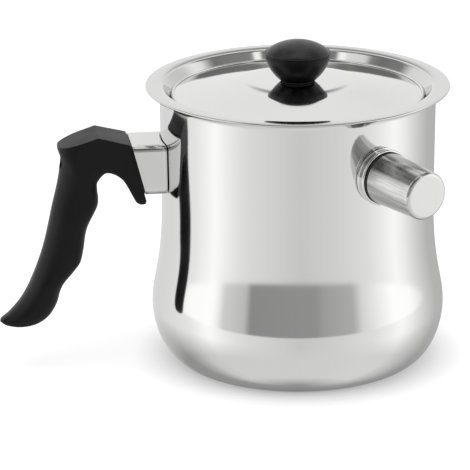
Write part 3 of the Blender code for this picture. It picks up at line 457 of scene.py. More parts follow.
def screw_matrix(handle):
    """Local Z runs from the back of the grip towards the pot, along the long screw."""
    height = handle.ferrule_top - handle.screw_drop
    return Matrix.Translation((0, 0, height)) @ Matrix.Rotation(math.pi / 2, 4, "Y")


def flange_height(pot):
    """Middle of the flange's sheet at the rim."""
    return pot.height - pot.sheet / 2


def ledge_height(pot):
    """Middle of the ledge's sheet."""
    return flange_height(pot) - pot.flange_fall - pot.well_depth


def shell_top(pot):
    """Upper edge of the jacket, just under the flange."""
    return flange_height(pot) - pot.flange_fall - pot.sheet / 2 - GAP


def neck_radius(pot, z):
    """Outside of the jacket's neck: a straight taper from waist to rim."""
    share = (z - pot.waist_height) / (shell_top(pot) - pot.waist_height)
    return pot.waist_radius + (pot.neck_radius - pot.waist_radius) * share


def seam_top(pot, handle):
    """Distance of the seam's top from the pot's axis."""
    return pot.neck_radius + handle.ferrule_length


def seam_reach(pot, handle, z):
    """Leaning seam between ferrule and grip: distance from the pot's axis at a height."""
    return seam_top(pot, handle) - (handle.ferrule_top - z) * math.tan(handle.seam_lean)


def cap_start(filler):
    """Open end of the whistle cap, along the filler's axis."""
    return filler.reach + 2 * GAP + filler.plug_flange


def cap_radius(filler, s):
    """Outside of the tapering cap at a reach."""
    start = cap_start(filler)
    share = (s - start) / (filler.cap_length - filler.cap_edge)
    return filler.cap_radius + (filler.cap_front - filler.cap_radius) * share


def lid_seat(pot, lid):
    """Middle of the lid's sheet where it sits on the ledge."""
    return ledge_height(pot) + pot.sheet / 2 + GAP + lid.sheet / 2


def lid_top(pot, lid):
    """Top of the lid's dome."""
    return lid_seat(pot, lid) + lid.crown + lid.sheet / 2


def knob_foot(pot, lid):
    """Foot of the knob, on its gasket."""
    return lid_top(pot, lid) + 2 * GAP + lid.gasket


# Nodes: most of these functions add to a tree and give back the new output

def feed(tree, socket, value):
    """Links an output to a socket, or sets the socket to a plain value."""
    if isinstance(value, bpy.types.NodeSocket):
        tree.links.new(value, socket)
    else:
        socket.default_value = value


def node(tree, kind, inputs=None, **settings):
    """Adds a node with its properties, and feeds its inputs by name or number."""
    made = tree.nodes.new(kind)
    for key, value in settings.items():
        setattr(made, key, value)
    for key, value in (inputs or {}).items():
        feed(tree, made.inputs[key], value)
    return made


def maths(tree, operation, *values):
    """Result of a Math node."""
    return node(tree, "ShaderNodeMath", dict(enumerate(values)), operation=operation).outputs[0]


def ranged(tree, value, low, high, to_low=0.0, to_high=1.0):
    """Value carried from one range into another and kept inside it."""
    return node(tree, "ShaderNodeMapRange", {
        "Value": value, "From Min": low, "From Max": high, "To Min": to_low, "To Max": to_high,
    }).outputs[0]


def blended(tree, factor, one, other):
    """Mix of two numbers."""
    return node(tree, "ShaderNodeMix", {0: factor, 2: one, 3: other}).outputs[0]


def mixed(tree, factor, one, other):
    """Mix of two colours."""
    return node(tree, "ShaderNodeMix", {0: factor, 6: one, 7: other}, data_type="RGBA").outputs[2]


def noise(tree, place, scale, detail, roughness=0.5, distortion=0.0):
    """Noise as a number."""
    return node(tree, "ShaderNodeTexNoise", {
        "Vector": place, "Scale": scale, "Detail": detail, "Roughness": roughness,
        "Distortion": distortion,
    }).outputs["Fac"]


def bump(tree, height, strength, distance):
    """Normal ruffled by a height."""
    return node(tree, "ShaderNodeBump", {
        "Strength": strength, "Distance": distance, "Height": height,
    }).outputs["Normal"]


def here(tree):
    """Object coordinates, whole and as their three parts."""
    place = node(tree, "ShaderNodeTexCoord").outputs["Object"]
    return place, node(tree, "ShaderNodeSeparateXYZ", {0: place}).outputs


def paint(tree, inputs):
    """Feeds the inputs of a material's shader."""
    for key, value in inputs.items():
        feed(tree, tree.nodes["Principled BSDF"].inputs[key], value)


def new_group(name, enters, leaves):
    """Node group with named inputs, each with its default, and named outputs."""
    group = bpy.data.node_groups.new(name, "ShaderNodeTree")
    for label, default in enters.items():
        kind = "NodeSocketColor" if isinstance(default, tuple) else "NodeSocketFloat"
        made = group.interface.new_socket(name=label, in_out="INPUT", socket_type=kind)
        made.default_value = default
    for label in leaves:
        kind = "NodeSocketColor" if label == "Color" else "NodeSocketFloat"
        group.interface.new_socket(name=label, in_out="OUTPUT", socket_type=kind)
    return group


def polish_group():
    """Node group: hair-fine polishing rings at constant height plus radius, and soft handling marks.

    Lines is noise stretched along the turning direction; the marks are a slow cloud of wiped patches.
    """
    if "Polish" in bpy.data.node_groups:
        return bpy.data.node_groups["Polish"]
    group = new_group(
        "Polish",
        {"Line Scale": 900.0, "Mark Scale": 28.0, "Roughness Low": 0.05, "Roughness High": 0.09},
        ("Roughness", "Lines"),
    )
    enter = group.nodes.new("NodeGroupInput").outputs
    place, (x, y, z) = here(group)
    square = maths(group, "MULTIPLY_ADD", y, y, maths(group, "MULTIPLY", x, x))
    ring = maths(group, "ADD", maths(group, "SQRT", square), z)
    long_x, long_y = (maths(group, "MULTIPLY", part, 0.01) for part in (x, y))
    joined = node(group, "ShaderNodeCombineXYZ", {0: long_x, 1: long_y, 2: ring}).outputs[0]
    lines = noise(group, joined, enter["Line Scale"], 3.0, 0.6)
    marks = noise(group, place, enter["Mark Scale"], 3.0, 0.55, 0.4)
    both = maths(group, "MULTIPLY_ADD", lines, 0.35, marks)
    rough = ranged(group, both, 0.45, 0.95, enter["Roughness Low"], enter["Roughness High"])
    node(group, "NodeGroupOutput", {"Roughness": rough, "Lines": lines})
    return group


def grain_group():
    """Node group: the fine grain of a moulded surface, as a height, with slow changes of tone."""
    if "Moulding Grain" in bpy.data.node_groups:
        return bpy.data.node_groups["Moulding Grain"]
    group = new_group(
        "Moulding Grain",
        {"Grain Scale": 1800.0, "Dark": (0.01, 0.01, 0.01, 1), "Light": (0.02, 0.02, 0.02, 1),
         "Roughness Low": 0.35, "Roughness High": 0.5},
        ("Color", "Roughness", "Height"),
    )
    enter = group.nodes.new("NodeGroupInput").outputs
    place = here(group)[0]
    cloud = noise(group, place, 60.0, 3.0)
    node(group, "NodeGroupOutput", {
        "Color": mixed(group, cloud, enter["Dark"], enter["Light"]),
        "Roughness": ranged(group, cloud, 0.3, 0.7, enter["Roughness Low"], enter["Roughness High"]),
        "Height": noise(group, place, enter["Grain Scale"], 2.0),
    })
    return group


# Materials: each function takes the tree, the colour and its own numbers from the table below

def metal(tree, tint, low, high, line_scale=900.0, strength=0.05):
    """A metal whose roughness follows the polish group, with a trace of its lines as bump."""
    polish = node(
        tree, "ShaderNodeGroup",
        {"Line Scale": line_scale, "Roughness Low": low, "Roughness High": high},
        node_tree=polish_group(),
    ).outputs
    paint(tree, {
        "Base Color": (*tint, 1), "Metallic": 1.0, "Roughness": polish["Roughness"],
        "Normal": bump(tree, polish["Lines"], strength, LINE_HEIGHT),
    })
    return polish["Roughness"]


def vessel_metal(tree, tint, low, high):
    """Steel of the inner vessel: polished down to the ledge, satin below it."""
    polish = metal(tree, tint, low, high)
    pot = bpy.context.scene.boiler_pot
    ledge = ledge_height(pot)
    place, parts = here(tree)
    under = ranged(tree, parts[2], ledge - pot.sheet, ledge - 4 * pot.sheet)
    satin = ranged(tree, noise(tree, place, 400.0, 4.0), 0.3, 0.7, 0.30, 0.42)
    paint(tree, {
        "Roughness": blended(tree, under, polish, satin),
        "Metallic": ranged(tree, under, 0.0, 1.0, 1.0, 0.55),
    })


def brushed_metal_with_painted_sheen(tree, tint):
    """Cap steel: noise drawn out along the filler's axis roughens it in fine brushed streaks and paints
    them dark and light, partly brushed tone and partly painted reflection bands; the closed end face is
    painted pale as a painted highlight.
    """
    filler = bpy.context.scene.boiler_filler
    back = filler_matrix(filler).inverted()
    local = node(tree, "ShaderNodeMapping", {
        "Vector": here(tree)[0], "Location": back.to_translation(), "Rotation": back.to_euler(),
    }).outputs[0]
    drawn = node(tree, "ShaderNodeVectorMath", {0: local, 1: (1, 1, 0.03)}, operation="MULTIPLY")
    streaks = noise(tree, drawn.outputs[0], 700.0, 4.0, 0.7)
    wide = noise(tree, drawn.outputs[0], 160.0, 1.0)
    share = ranged(tree, maths(tree, "MULTIPLY", streaks, wide), 0.12, 0.38)
    end = cap_start(filler) + filler.cap_length
    along = node(tree, "ShaderNodeSeparateXYZ", {0: local}).outputs[2]
    # Mask of the closed end face, which is painted pale: a painted highlight.
    face = ranged(tree, along, end - filler.cap_edge / 2, end - filler.cap_edge / 8)
    # Dark and light tones of the streaks: partly brushed tone, partly painted reflection bands.
    dark, pale = ((*(min(c * times, 1) for c in tint), 1) for times in (0.55, 1.38))
    paint(tree, {
        "Metallic": 1.0,
        "Base Color": mixed(tree, blended(tree, face, share, 0.95), dark, pale),
        "Roughness": ranged(tree, streaks, 0.3, 0.7, 0.14, 0.24),
        "Normal": bump(tree, share, 0.2, LINE_HEIGHT),
    })


def moulded(tree, tint, low, high, specular, grain=1800.0):
    """A moulded dark material: grain as bump, slow changes of tone and roughness."""
    surface = node(
        tree, "ShaderNodeGroup",
        {"Grain Scale": grain, "Dark": (*tint, 1), "Light": (*(min(c * 1.6, 1) for c in tint), 1),
         "Roughness Low": low, "Roughness High": high},
        node_tree=grain_group(),
    ).outputs
    paint(tree, {
        "Specular IOR Level": specular, "Base Color": surface["Color"],
        "Roughness": surface["Roughness"],
        "Normal": bump(tree, surface["Height"], 0.12, GRAIN_HEIGHT),
    })
    return surface["Color"]


def sheen_lit_phenolic(tree, tint, low, high, specular):
    """Phenolic of the knob: above the lip its tone is painted lighter in patches, a painted sheen of
    light from above.
    """
    plain = moulded(tree, tint, low, high, specular)
    lid = bpy.context.scene.boiler_lid
    lip = knob_foot(bpy.context.scene.boiler_pot, lid) + lid.bowl + lid.lip_height
    place, parts = here(tree)
    over = ranged(tree, parts[2], lip, lip + lid.lip_height)
    # Mask of the painted sheen: above the lip, broken up by noise; 0.038 is the painted sheen's tone.
    painted_top_sheen = maths(tree, "MULTIPLY", over, noise(tree, place, 220.0, 3.0))
    paint(tree, {"Base Color": mixed(tree, painted_top_sheen, plain, (0.038, 0.038, 0.038, 1))})


# Finish: the material's name, its function, then roughness from and to, and that function's own rest
MATERIALS = {
    "steel": ("Polished steel", metal, 0.05, 0.09),
    "vessel": ("Vessel steel", vessel_metal, 0.06, 0.11),
    "ferrule": ("Ferrule steel", metal, 0.06, 0.10, 1400.0),
    "cap": ("Brushed steel", brushed_metal_with_painted_sheen),
    "plain": ("Plain steel", metal, 0.28, 0.42, 2000.0, 0.3),
    "brass": ("Turned brass", metal, 0.25, 0.38, 2500.0, 0.4),
    "aluminium": ("Pressed aluminium", metal, 0.25, 0.38, 1500.0, 0.3),
    "phenolic": ("Black phenolic", moulded, 0.34, 0.44, 0.2),
    "knob": ("Glossy phenolic", sheen_lit_phenolic, 0.26, 0.34, 0.24),
    "silicone": ("Black silicone", moulded, 0.55, 0.7, 0.4),
    "fibre": ("Gasket fibre", moulded, 0.8, 0.95, 0.3, 900.0),
}


def material(finish):
    """Material of a finish, made when a piece first asks for it."""
    name, build, *numbers = MATERIALS[finish]
    if name not in bpy.data.materials:
        made = bpy.data.materials.new(name)
        made.use_nodes = True
        build(made.node_tree, getattr(bpy.context.scene.boiler_finishes, finish), *numbers)
    return bpy.data.materials[name]


# Shapes

def jacket_profile(pot):
    """Outside of the jacket from its top edge to its base.

    Flare: circle arc that opens out under the flange. Neck: straight taper. Shoulder: cubic curve
    with upright ends. Lower belly: superellipse, radius = base + spread * cos(t)^(2/power),
    height = belly * (1 - sin(t)^(2/power)).
    """
    top = shell_top(pot)
    bend = top - pot.neck_flare * math.sin(FLARE_TURN)
    centre = (pot.neck_radius + pot.neck_flare, bend)
    flare = arc(centre, pot.neck_flare, 180 - math.degrees(FLARE_TURN), 180, 16)
    neck = line((pot.neck_radius, bend), (pot.waist_radius, pot.waist_height), 12)
    shoulder = bezier(
        (pot.waist_radius, pot.waist_height),
        (pot.waist_radius, pot.waist_height - pot.waist_pull),
        (pot.belly_radius, pot.belly_height + pot.belly_pull),
        (pot.belly_radius, pot.belly_height), 72,
    )
    t = np.linspace(0, np.pi / 2, 56)[1:]
    power = 2 / pot.belly_power
    spread = pot.belly_radius - pot.base_radius
    belly = np.stack([
        pot.base_radius + spread * np.clip(np.cos(t), 0, 1) ** power,
        pot.belly_height * (1 - np.sin(t) ** power),
    ], -1)
    return np.concatenate([flare[:-1], neck[:-1], shoulder, belly])


class BOILER_OT_jacket(Operator):
    """Build the polished jacket with its belly and its filler hole"""
    bl_idname = "boiler.jacket"
    bl_label = "Jacket"

    def execute(self, context):
        pot = context.scene.boiler_pot
        filler = context.scene.boiler_filler
        outer = jacket_profile(pot)
        inner = offset(outer, -pot.sheet)[::6]
        inner = inner[inner[:, 1] > pot.sheet]
        inner[0, 1] = outer[0, 1]
        inner = np.concatenate([inner, [(pot.base_radius - pot.sheet, pot.sheet)]])
        profile = np.concatenate([inner[::-1], outer])
        piece = skin("jacket", spun(closed(profile)))
        tool_radius = filler.radius - filler.wall
        start = pot.waist_radius - 2 * tool_radius
        tool_profile = closed(line((tool_radius, start), (tool_radius, filler.reach), 2))
        cut(piece, skin("hole_tool", spun(tool_profile, AROUND_SMALL, filler_matrix(filler))))
        fit_out(piece, "pot", ["outer_shell"], "steel")
        return {"FINISHED"}


class BOILER_OT_vessel(Operator):
    """Build the inner vessel: a bent sheet of rim, flange, well, ledge, wall and floor, turned"""
    bl_idname = "boiler.vessel"
    bl_label = "Inner vessel"

    def execute(self, context):
        pot = context.scene.boiler_pot
        lid = context.scene.boiler_lid
        half = pot.sheet / 2
        top, ledge = flange_height(pot), ledge_height(pot)
        floor = pot.sheet + pot.jacket_floor + half
        wall = pot.vessel_radius - half
        path = rounded(
            [
                (pot.rim_radius - pot.rim_roll, top),
                (pot.neck_radius - pot.sheet - pot.throat_setback, top - pot.flange_fall),
                (lid.radius + lid.play, ledge),
                (wall, ledge),
                (wall, floor),
                (0, floor),
            ],
            (pot.throat_bend, pot.ledge_bend, pot.ledge_bend, pot.vessel_corner),
            14,
        )
        meet = math.degrees(math.asin((pot.sheet - pot.rim_roll) / pot.rim_roll))
        centre = (pot.rim_radius - pot.rim_roll, pot.height - pot.rim_roll)
        roll = arc(centre, pot.rim_roll, 90, meet - 180, 30)
        piece = skin("vessel", spun(sheet_profile(path, pot.sheet, roll, 0)))
        fit_out(piece, "pot", ["inner_vessel"], "vessel")
        return {"FINISHED"}


class BOILER_OT_filler(Operator):
    """Build the filler neck with its saddle foot, weld and bead"""
    bl_idname = "boiler.filler"
    bl_label = "Filler neck"

    def execute(self, context):
        pot = context.scene.boiler_pot
        filler = context.scene.boiler_filler
        bore = filler.radius - filler.wall
        foot = filler.radius + filler.weld
        weld = arc((foot, filler.weld), filler.weld, 270, 180, 10)
        radii = np.concatenate([[bore, foot], weld[:, 0]])
        rise = np.concatenate([[0, 0], weld[:, 1]])
        bead = arc((filler.radius, filler.reach - filler.bead), filler.bead, -90, 90, 16)
        t = np.linspace(0, 2 * np.pi, AROUND_SMALL, endpoint=False)
        across, up = radii[:, None] * np.cos(t), radii[:, None] * np.sin(t)
        # Saddle: where the drooping tube's line at (across, up) meets the wall, which is round:
        # (root of wall squared less across squared, less up * sin droop) / cos droop
        fall, level = math.sin(filler.droop), math.cos(filler.droop)
        wall = neck_radius(pot, filler.height + up * level - pot.neck_radius * fall) + GAP
        saddle = (np.sqrt(wall ** 2 - across ** 2) - up * fall) / level + rise[:, None]
        low = np.stack([across, up, saddle], -1)
        mouth = [(bore + GAP, filler.reach), (bore, filler.reach - GAP)]
        high = spun(np.concatenate([bead, mouth]), AROUND_SMALL)
        grid = placed(np.concatenate([low, high]), filler_matrix(filler))
        piece = skin("filler_tube", grid, ring=True)
        fit_out(piece, "pot", ["filler_neck"], "steel")
        return {"FINISHED"}


class BOILER_OT_whistle(Operator):
    """Build the whistle's steel cap and its silicone plug, two profiles turned round its axis"""
    bl_idname = "boiler.whistle"
    bl_label = "Whistle"

    def execute(self, context):
        filler = context.scene.boiler_filler
        place = filler_matrix(filler)
        start = cap_start(filler)
        end = start + filler.cap_length
        front = end - filler.cap_edge
        outer = np.concatenate([
            line((cap_radius(filler, start), start), (cap_radius(filler, front), front), 8),
            arc((filler.cap_front - filler.cap_edge, front), filler.cap_edge, 0, 90, 18)[1:],
            line((filler.cap_front - filler.cap_edge, end), (0, end), 6)[1:],
        ])
        inner = offset(outer, filler.cap_sheet)
        inner[0], inner[-1] = (inner[0, 0], start), (0, end - filler.cap_sheet)
        profile = np.concatenate([inner[::-1], outer])
        cap = skin("whistle_cup", spun(profile, AROUND_SMALL, place))
        half = filler.slot_width / 2
        slot = end - filler.slot_setback - filler.slot_length / 2
        tool = block(
            (-half, -filler.cap_radius - OVERRUN, slot),
            (half, filler.slot_depth - filler.cap_radius, slot + filler.slot_length),
        )
        cut(cap, skin("slot_tool", placed(tool, place)))
        fit_out(cap, "whistle", ["whistle_cap"], "cap")

        bore = filler.radius - filler.wall
        flange = filler.reach + GAP
        flange_end = flange + filler.plug_flange
        nose = flange_end + filler.plug_nose
        inside = filler.cap_sheet + GAP
        seat = filler.plate_radius + GAP
        seat_start = nose - filler.plate_seat
        plug_start = flange - filler.plug_depth
        profile = rounded(
            [
                (filler.plug_bore, flange),
                (filler.plug_bore, plug_start),
                (bore - GAP, plug_start),
                (bore - GAP, flange),
                (filler.plug_flange_radius, flange),
                (filler.plug_flange_radius, flange_end),
                (cap_radius(filler, start) - inside, flange_end),
                (cap_radius(filler, nose) - inside, nose),
                (seat, nose),
                (seat, seat_start),
                (filler.plug_bore, seat_start),
                (filler.plug_bore, flange),
            ],
            PLUG_ROUNDINGS * filler.plug_edge, 5,
        )[:-1]
        plug = skin("whistle_stopper", spun(profile, AROUND_SMALL, place), ring=True)
        fit_out(plug, "whistle", ["whistle_plug"], "silicone")
        return {"FINISHED"}


class BOILER_OT_lid(Operator):
    """Build the domed lid with its hemmed edge: the crown's height is the running sum of its slope"""
    bl_idname = "boiler.lid"
    bl_label = "Lid"

    def execute(self, context):
        pot = context.scene.boiler_pot
        lid = context.scene.boiler_lid
        seat = lid_seat(pot, lid)
        foot = lid.radius - 2 * lid.hem - lid.seat_width
        share = np.linspace(1, 0, 120)
        slope = through(CROWN_SLOPES, share)[:, 0]
        rise = np.concatenate([[0], np.cumsum(slope[1:] + slope[:-1])])
        dome = np.stack([foot * share, seat + lid.crown * rise / rise[-1]], -1)
        dome = dome[dome[:, 0] > lid.hole]
        dome = np.concatenate([dome, [(lid.hole, seat + lid.crown)]])
        path = np.concatenate([line((lid.radius - lid.hem, seat), (foot, seat), 5)[:-1], dome])
        centre = (lid.radius - lid.hem, seat - lid.sheet / 2 + lid.hem)
        hem = arc(centre, lid.hem, 170, -90, 20)
        profile = sheet_profile(path, lid.sheet, hem, lid.hole)
        piece = skin("lid_sheet", spun(profile), ring=True)
        fit_out(piece, "lid", ["lid_pan"], "steel")
        return {"FINISHED"}


class BOILER_OT_knob(Operator):
    """Build the mushroom knob: a turned profile of a cubic bowl, a round lip and a low dome"""
    bl_idname = "boiler.knob"
    bl_label = "Knob"

    def execute(self, context):
        pot = context.scene.boiler_pot
        lid = context.scene.boiler_lid
        foot = knob_foot(pot, lid)
        bowl_top = foot + lid.bowl
        start = np.array((lid.foot_radius, foot))
        spread = (lid.knob_radius - lid.foot_radius, lid.bowl)
        bowl = bezier(*(start + share * spread for share in BOWL_SHARES), 40)
        lip = lid.lip_height / 2
        rim = arc((lid.knob_radius + lid.lip - lip, bowl_top + lid.lip + lip), lip, -90, 60, 12)
        # Dome: radius = edge * cos t, height = dome * (sin t) to the dome's power
        edge = lid.knob_radius - lid.dome_edge
        t = np.linspace(0, np.pi / 2, 40)
        dome = np.stack([edge * np.cos(t), rim[-1, 1] + lid.dome * np.sin(t) ** DOME_POWER], -1)
        dome[-1, 0] = 0
        bore = lid.insert_radius + GAP
        bore_top = foot + lid.insert + GAP
        under = [(0, bore_top), (bore, bore_top), (bore, foot), (lid.foot_radius - lid.foot_edge, foot)]
        profile = np.concatenate([under, bowl[1:], rim, dome])
        piece = skin("knob_body", spun(profile, AROUND_SMALL))
        fit_out(piece, "lid", ["lid_knob"], "knob")
        return {"FINISHED"}


def ferrule_loop(handle, inset, count=12):
    """Rounded outline of the ferrule as (y, z): four quarter circles joined by straight runs."""
    half = handle.ferrule_width / 2 - inset
    top = handle.ferrule_top - inset
    bottom = handle.ferrule_top - handle.ferrule_height + inset
    upper, lower = handle.top_edge - inset, handle.bottom_edge - inset
    corners = (
        (half - upper, top - upper, upper, 0), (upper - half, top - upper, upper, 90),
        (lower - half, bottom + lower, lower, 180), (half - lower, bottom + lower, lower, 270),
    )
    arcs = [arc((y, z), r, start, start + 90, count) for y, z, r, start in corners]
    runs = [
        line(a[-1], b[0], count)[1:-1] for a, b in zip(arcs, arcs[1:] + arcs[:1])
    ]
    return np.concatenate([part for pair in zip(arcs, runs) for part in pair])


class BOILER_OT_ferrule(Operator):
    """Build the steel ferrule between the jacket and the grip"""
    bl_idname = "boiler.ferrule"
    bl_label = "Ferrule"

    def execute(self, context):
        pot = context.scene.boiler_pot
        handle = context.scene.boiler_handle
        # Each ring is the outline at an inset, laid on the jacket's round wall or on the seam;
        # the steps hold inset, distance from that end, and whether the end is the seam.
        soft, sheet = handle.end_edge, handle.ferrule_sheet
        mid = 0.3 * soft
        steps = (
            (0, soft, 0), (0, soft, 1), (mid, mid, 1), (soft, 0, 1), (sheet, 0, 1), (sheet, 0, 0),
            (soft, 0, 0), (mid, mid, 0),
        )
        rings = []
        for inset, back, far in steps:
            y, z = ferrule_loop(handle, inset).T
            near = np.sqrt((neck_radius(pot, z) + handle.slit) ** 2 - y * y) + back
            seam = seam_reach(pot, handle, z) - back
            rings.append(np.stack([-(seam if far else near), y, z], -1))
        rings = [rings[0] * (1 - t) + rings[1] * t for t in np.linspace(0, 1, 8)[:-1]] + rings[1:]
        piece = skin("ferrule_sleeve", np.stack(rings), ring=True)
        fit_out(piece, "pot", ["handle_ferrule"], "ferrule")
        return {"FINISHED"}


def grip_grid(pot, handle, stations=230):
    """Grid of the moulded grip.

    Each station is a slice from the back (depth 0) to the finger side (depth 1). Two planes that
    meet at the ridge cut it at depth a0, where a straight chord runs across. The outline then
    follows the chord, a small rounded crease, the side, whose half width at depth a is
    1 - wide * (1 - sin(arccos(1 - a / deep))), and the rounded finger side.
    """
    seam = seam_top(pot, handle)
    top = handle.ferrule_top + handle.step
    ridge = np.array([seam + handle.ridge_reach, top + handle.ridge_rise])
    bend = BACK_SHARES[0, 0]
    place = np.concatenate([
        np.linspace(0, HEAD_SHARE, stations // 2, endpoint=False),
        np.linspace(HEAD_SHARE, 1, stations - stations // 2),
    ])
    finger = through(FINGER_SHARES, place)
    seam_foot = top - FINGER_SHARES[0, 2] * handle.drop
    fade = np.clip(1 - place / LEAN_SHARE, 0, 1) ** 2
    lean = fade * (seam - seam_reach(pot, handle, seam_foot) - SEAM_GAP)
    reach_drop = np.array((handle.reach, -handle.drop))
    inner = (seam, top) + finger * reach_drop
    inner[:, 0] -= lean
    outer = (seam, top) + through(BACK_SHARES, place) * reach_drop
    half = handle.width / 2 * through(WIDTH_SHARES, place)[:, 0]
    head = place < bend
    share = (place[head] / bend)[:, None]
    blank_top = top + handle.blank
    first = np.array([seam_reach(pot, handle, blank_top) + SEAM_GAP, blank_top])
    last = (seam, top) + BACK_SHARES[0, 1:] * reach_drop
    outer[head] = first * (1 - share) + last * share
    half[head] = (handle.seam_width * (1 - share[:, 0]) + handle.width * share[:, 0]) / 2
    deep, wide, finger_deep, finger_wide = through(ROUND_SHARES, place).T

    rise = handle.ridge_rise / handle.ridge_reach
    fall = (handle.ridge_rise + handle.back_fall) / (handle.back_reach - handle.ridge_reach)
    depth = np.linalg.norm(inner - outer, axis=1)
    cuts = []
    for slope in (rise, -fall):
        over = outer[:, 1] - ridge[1] - slope * (outer[:, 0] - ridge[0])
        below = inner[:, 1] - ridge[1] - slope * (inner[:, 0] - ridge[0])
        cuts.append(over / np.maximum(over - below, depth / 5))
    start = (cuts[0] + cuts[1] + np.sqrt((cuts[0] - cuts[1]) ** 2 + RIDGE_BLEND ** 2)) / 2
    start = np.clip(start, 0, None)
    crisp = np.clip(start * depth / (2 * handle.edge), 0, 1)
    edge_a, edge_b = crisp * handle.edge / depth, crisp * handle.edge / half

    def width_at(a):
        turn = np.arccos(np.clip(1 - a / deep[:, None], 0, 1))
        return 1 - wide[:, None] * (1 - np.sin(turn))

    start = start[:, None]
    corner = width_at(start)
    chord_end = np.clip(corner - edge_b[:, None], 0, None)
    after = start + edge_a[:, None]
    t = np.linspace(0, 1, 12)
    chord = (start + 0 * t, chord_end * t)
    t = np.linspace(0, 1, 6)[1:-1]
    crease = (
        start * (1 - t) ** 2 + start * 2 * t * (1 - t) + after * t * t,
        chord_end * (1 - t) ** 2 + corner * 2 * t * (1 - t) + width_at(after) * t * t,
    )
    t = np.linspace(0, 1, 26) ** 2
    side_a = after + (1 - finger_deep[:, None] - after) * t
    side = (side_a, width_at(side_a))
    t = np.linspace(0, np.pi / 2, 14)[1:]
    finger_arc = (
        1 - finger_deep[:, None] * (1 - np.sin(t)),
        1 - finger_wide[:, None] * (1 - np.cos(t)),
    )
    t = np.linspace(1, 0, 5)[1:]
    floor = (1 + 0 * start * t, (1 - finger_wide[:, None]) * t)
    a = np.concatenate([part[0] for part in (chord, crease, side, finger_arc, floor)], 1)
    b = np.concatenate([part[1] for part in (chord, crease, side, finger_arc, floor)], 1)
    a = np.concatenate([a, a[:, -2:0:-1]], 1)
    b = np.concatenate([b, -b[:, -2:0:-1]], 1)
    points = outer[:, None] + (inner - outer)[:, None] * a[..., None]
    grid = np.stack([-points[..., 0], half[:, None] * b, points[..., 1]], -1)
    ends = [row.mean(0)[None] + 0 * row for row in (grid[0], grid[-1])]
    return np.concatenate([ends[0][None], grid, ends[1][None]])


class BOILER_OT_grip(Operator):
    """Build the moulded grip with its spigot and screw bore"""
    bl_idname = "boiler.grip"
    bl_label = "Grip"

    def execute(self, context):
        pot = context.scene.boiler_pot
        handle = context.scene.boiler_handle
        piece = skin("grip_moulding", grip_grid(pot, handle))
        place = screw_matrix(handle)
        floor = seam_top(pot, handle) + handle.counterbore
        far = floor + handle.back_reach
        wide, narrow = handle.washer_radius + GAP, handle.screw_radius + GAP
        bore = closed(np.array([
            (wide, -far), (wide, -floor), (narrow, -floor), (narrow, -pot.neck_radius),
        ]))
        inside = handle.ferrule_sheet + GAP
        rings = []
        # The last two rings are a black collar filling the seam to just below the ferrule's face: a
        # dark piece put where the seam shows only shade.
        for inset, reach in (
            (inside, handle.spigot), (inside, -GAP / 2), (SHADE_COLLAR_INSET, -GAP / 2),
            (SHADE_COLLAR_INSET, -SEAM_GAP - GAP / 2),
        ):
            y, z = ferrule_loop(handle, inset).T
            rings.append(np.stack([reach - seam_reach(pot, handle, z), y, z], -1))
        middle = [row.mean(0)[None] + 0 * row for row in (rings[0], rings[-1])]
        spigot = skin("spigot", np.stack([middle[0], *rings, middle[1]]))
        for part in (piece, spigot):
            cut(part, skin("bore_tool", spun(bore, AROUND_SCREW, place)))
        join(piece, spigot)
        fit_out(piece, "pot", ["handle_grip"], "phenolic")
        return {"FINISHED"}


def join(piece, other):
    """Adds another object's mesh to a piece and removes the other object."""
    bm = bmesh.new()
    bm.from_mesh(piece.data)
    bm.from_mesh(other.data)
    bm.to_mesh(piece.data)
    bm.free()
    bpy.data.objects.remove(other)


SCREW_SLOT = 0.0010      # width of a screw's slot
SLOT_SHARE = 0.55        # its depth, as a share of the head's height
HEAD_TURN = 62           # degrees of the round on a screw's head
WASHER_EDGE = 0.00015    # rounding of a washer's edges


def screw_piece(name, radius, head_radius, head, shank, place):
    """Slotted screw: a domed head below a straight shank with a chamfered end, turned as one profile.

    Dome: radius = head radius * sin t, height = -head * cos t.
    """
    t = np.radians(np.linspace(0, HEAD_TURN, 12))
    dome = np.stack([head_radius * np.sin(t), -head * np.cos(t)], -1)
    profile = np.concatenate([dome, [
        (head_radius, -head / 4), (head_radius, 0), (radius, 0), (radius, shank - radius / 4),
        (radius - radius / 4, shank), (0, shank),
    ]])
    piece = skin(name, spun(profile, AROUND_SCREW, place))
    far = head_radius + OVERRUN
    tool = block(
        (-SCREW_SLOT / 2, -far, -head - OVERRUN), (SCREW_SLOT / 2, far, -head * (1 - SLOT_SHARE))
    )
    cut(piece, skin("slot_tool", placed(tool, place)))
    return piece


def washer_piece(name, radius, hole, start, end, place):
    """Flat washer with eased edges."""
    middle = (hole, (start + end) / 2)
    corners = [middle, (hole, start), (radius, start), (radius, end), (hole, end), middle]
    profile = rounded(corners, (WASHER_EDGE,) * 4, 4)[:-1]
    return skin(name, spun(profile, AROUND_SCREW, place), ring=True)


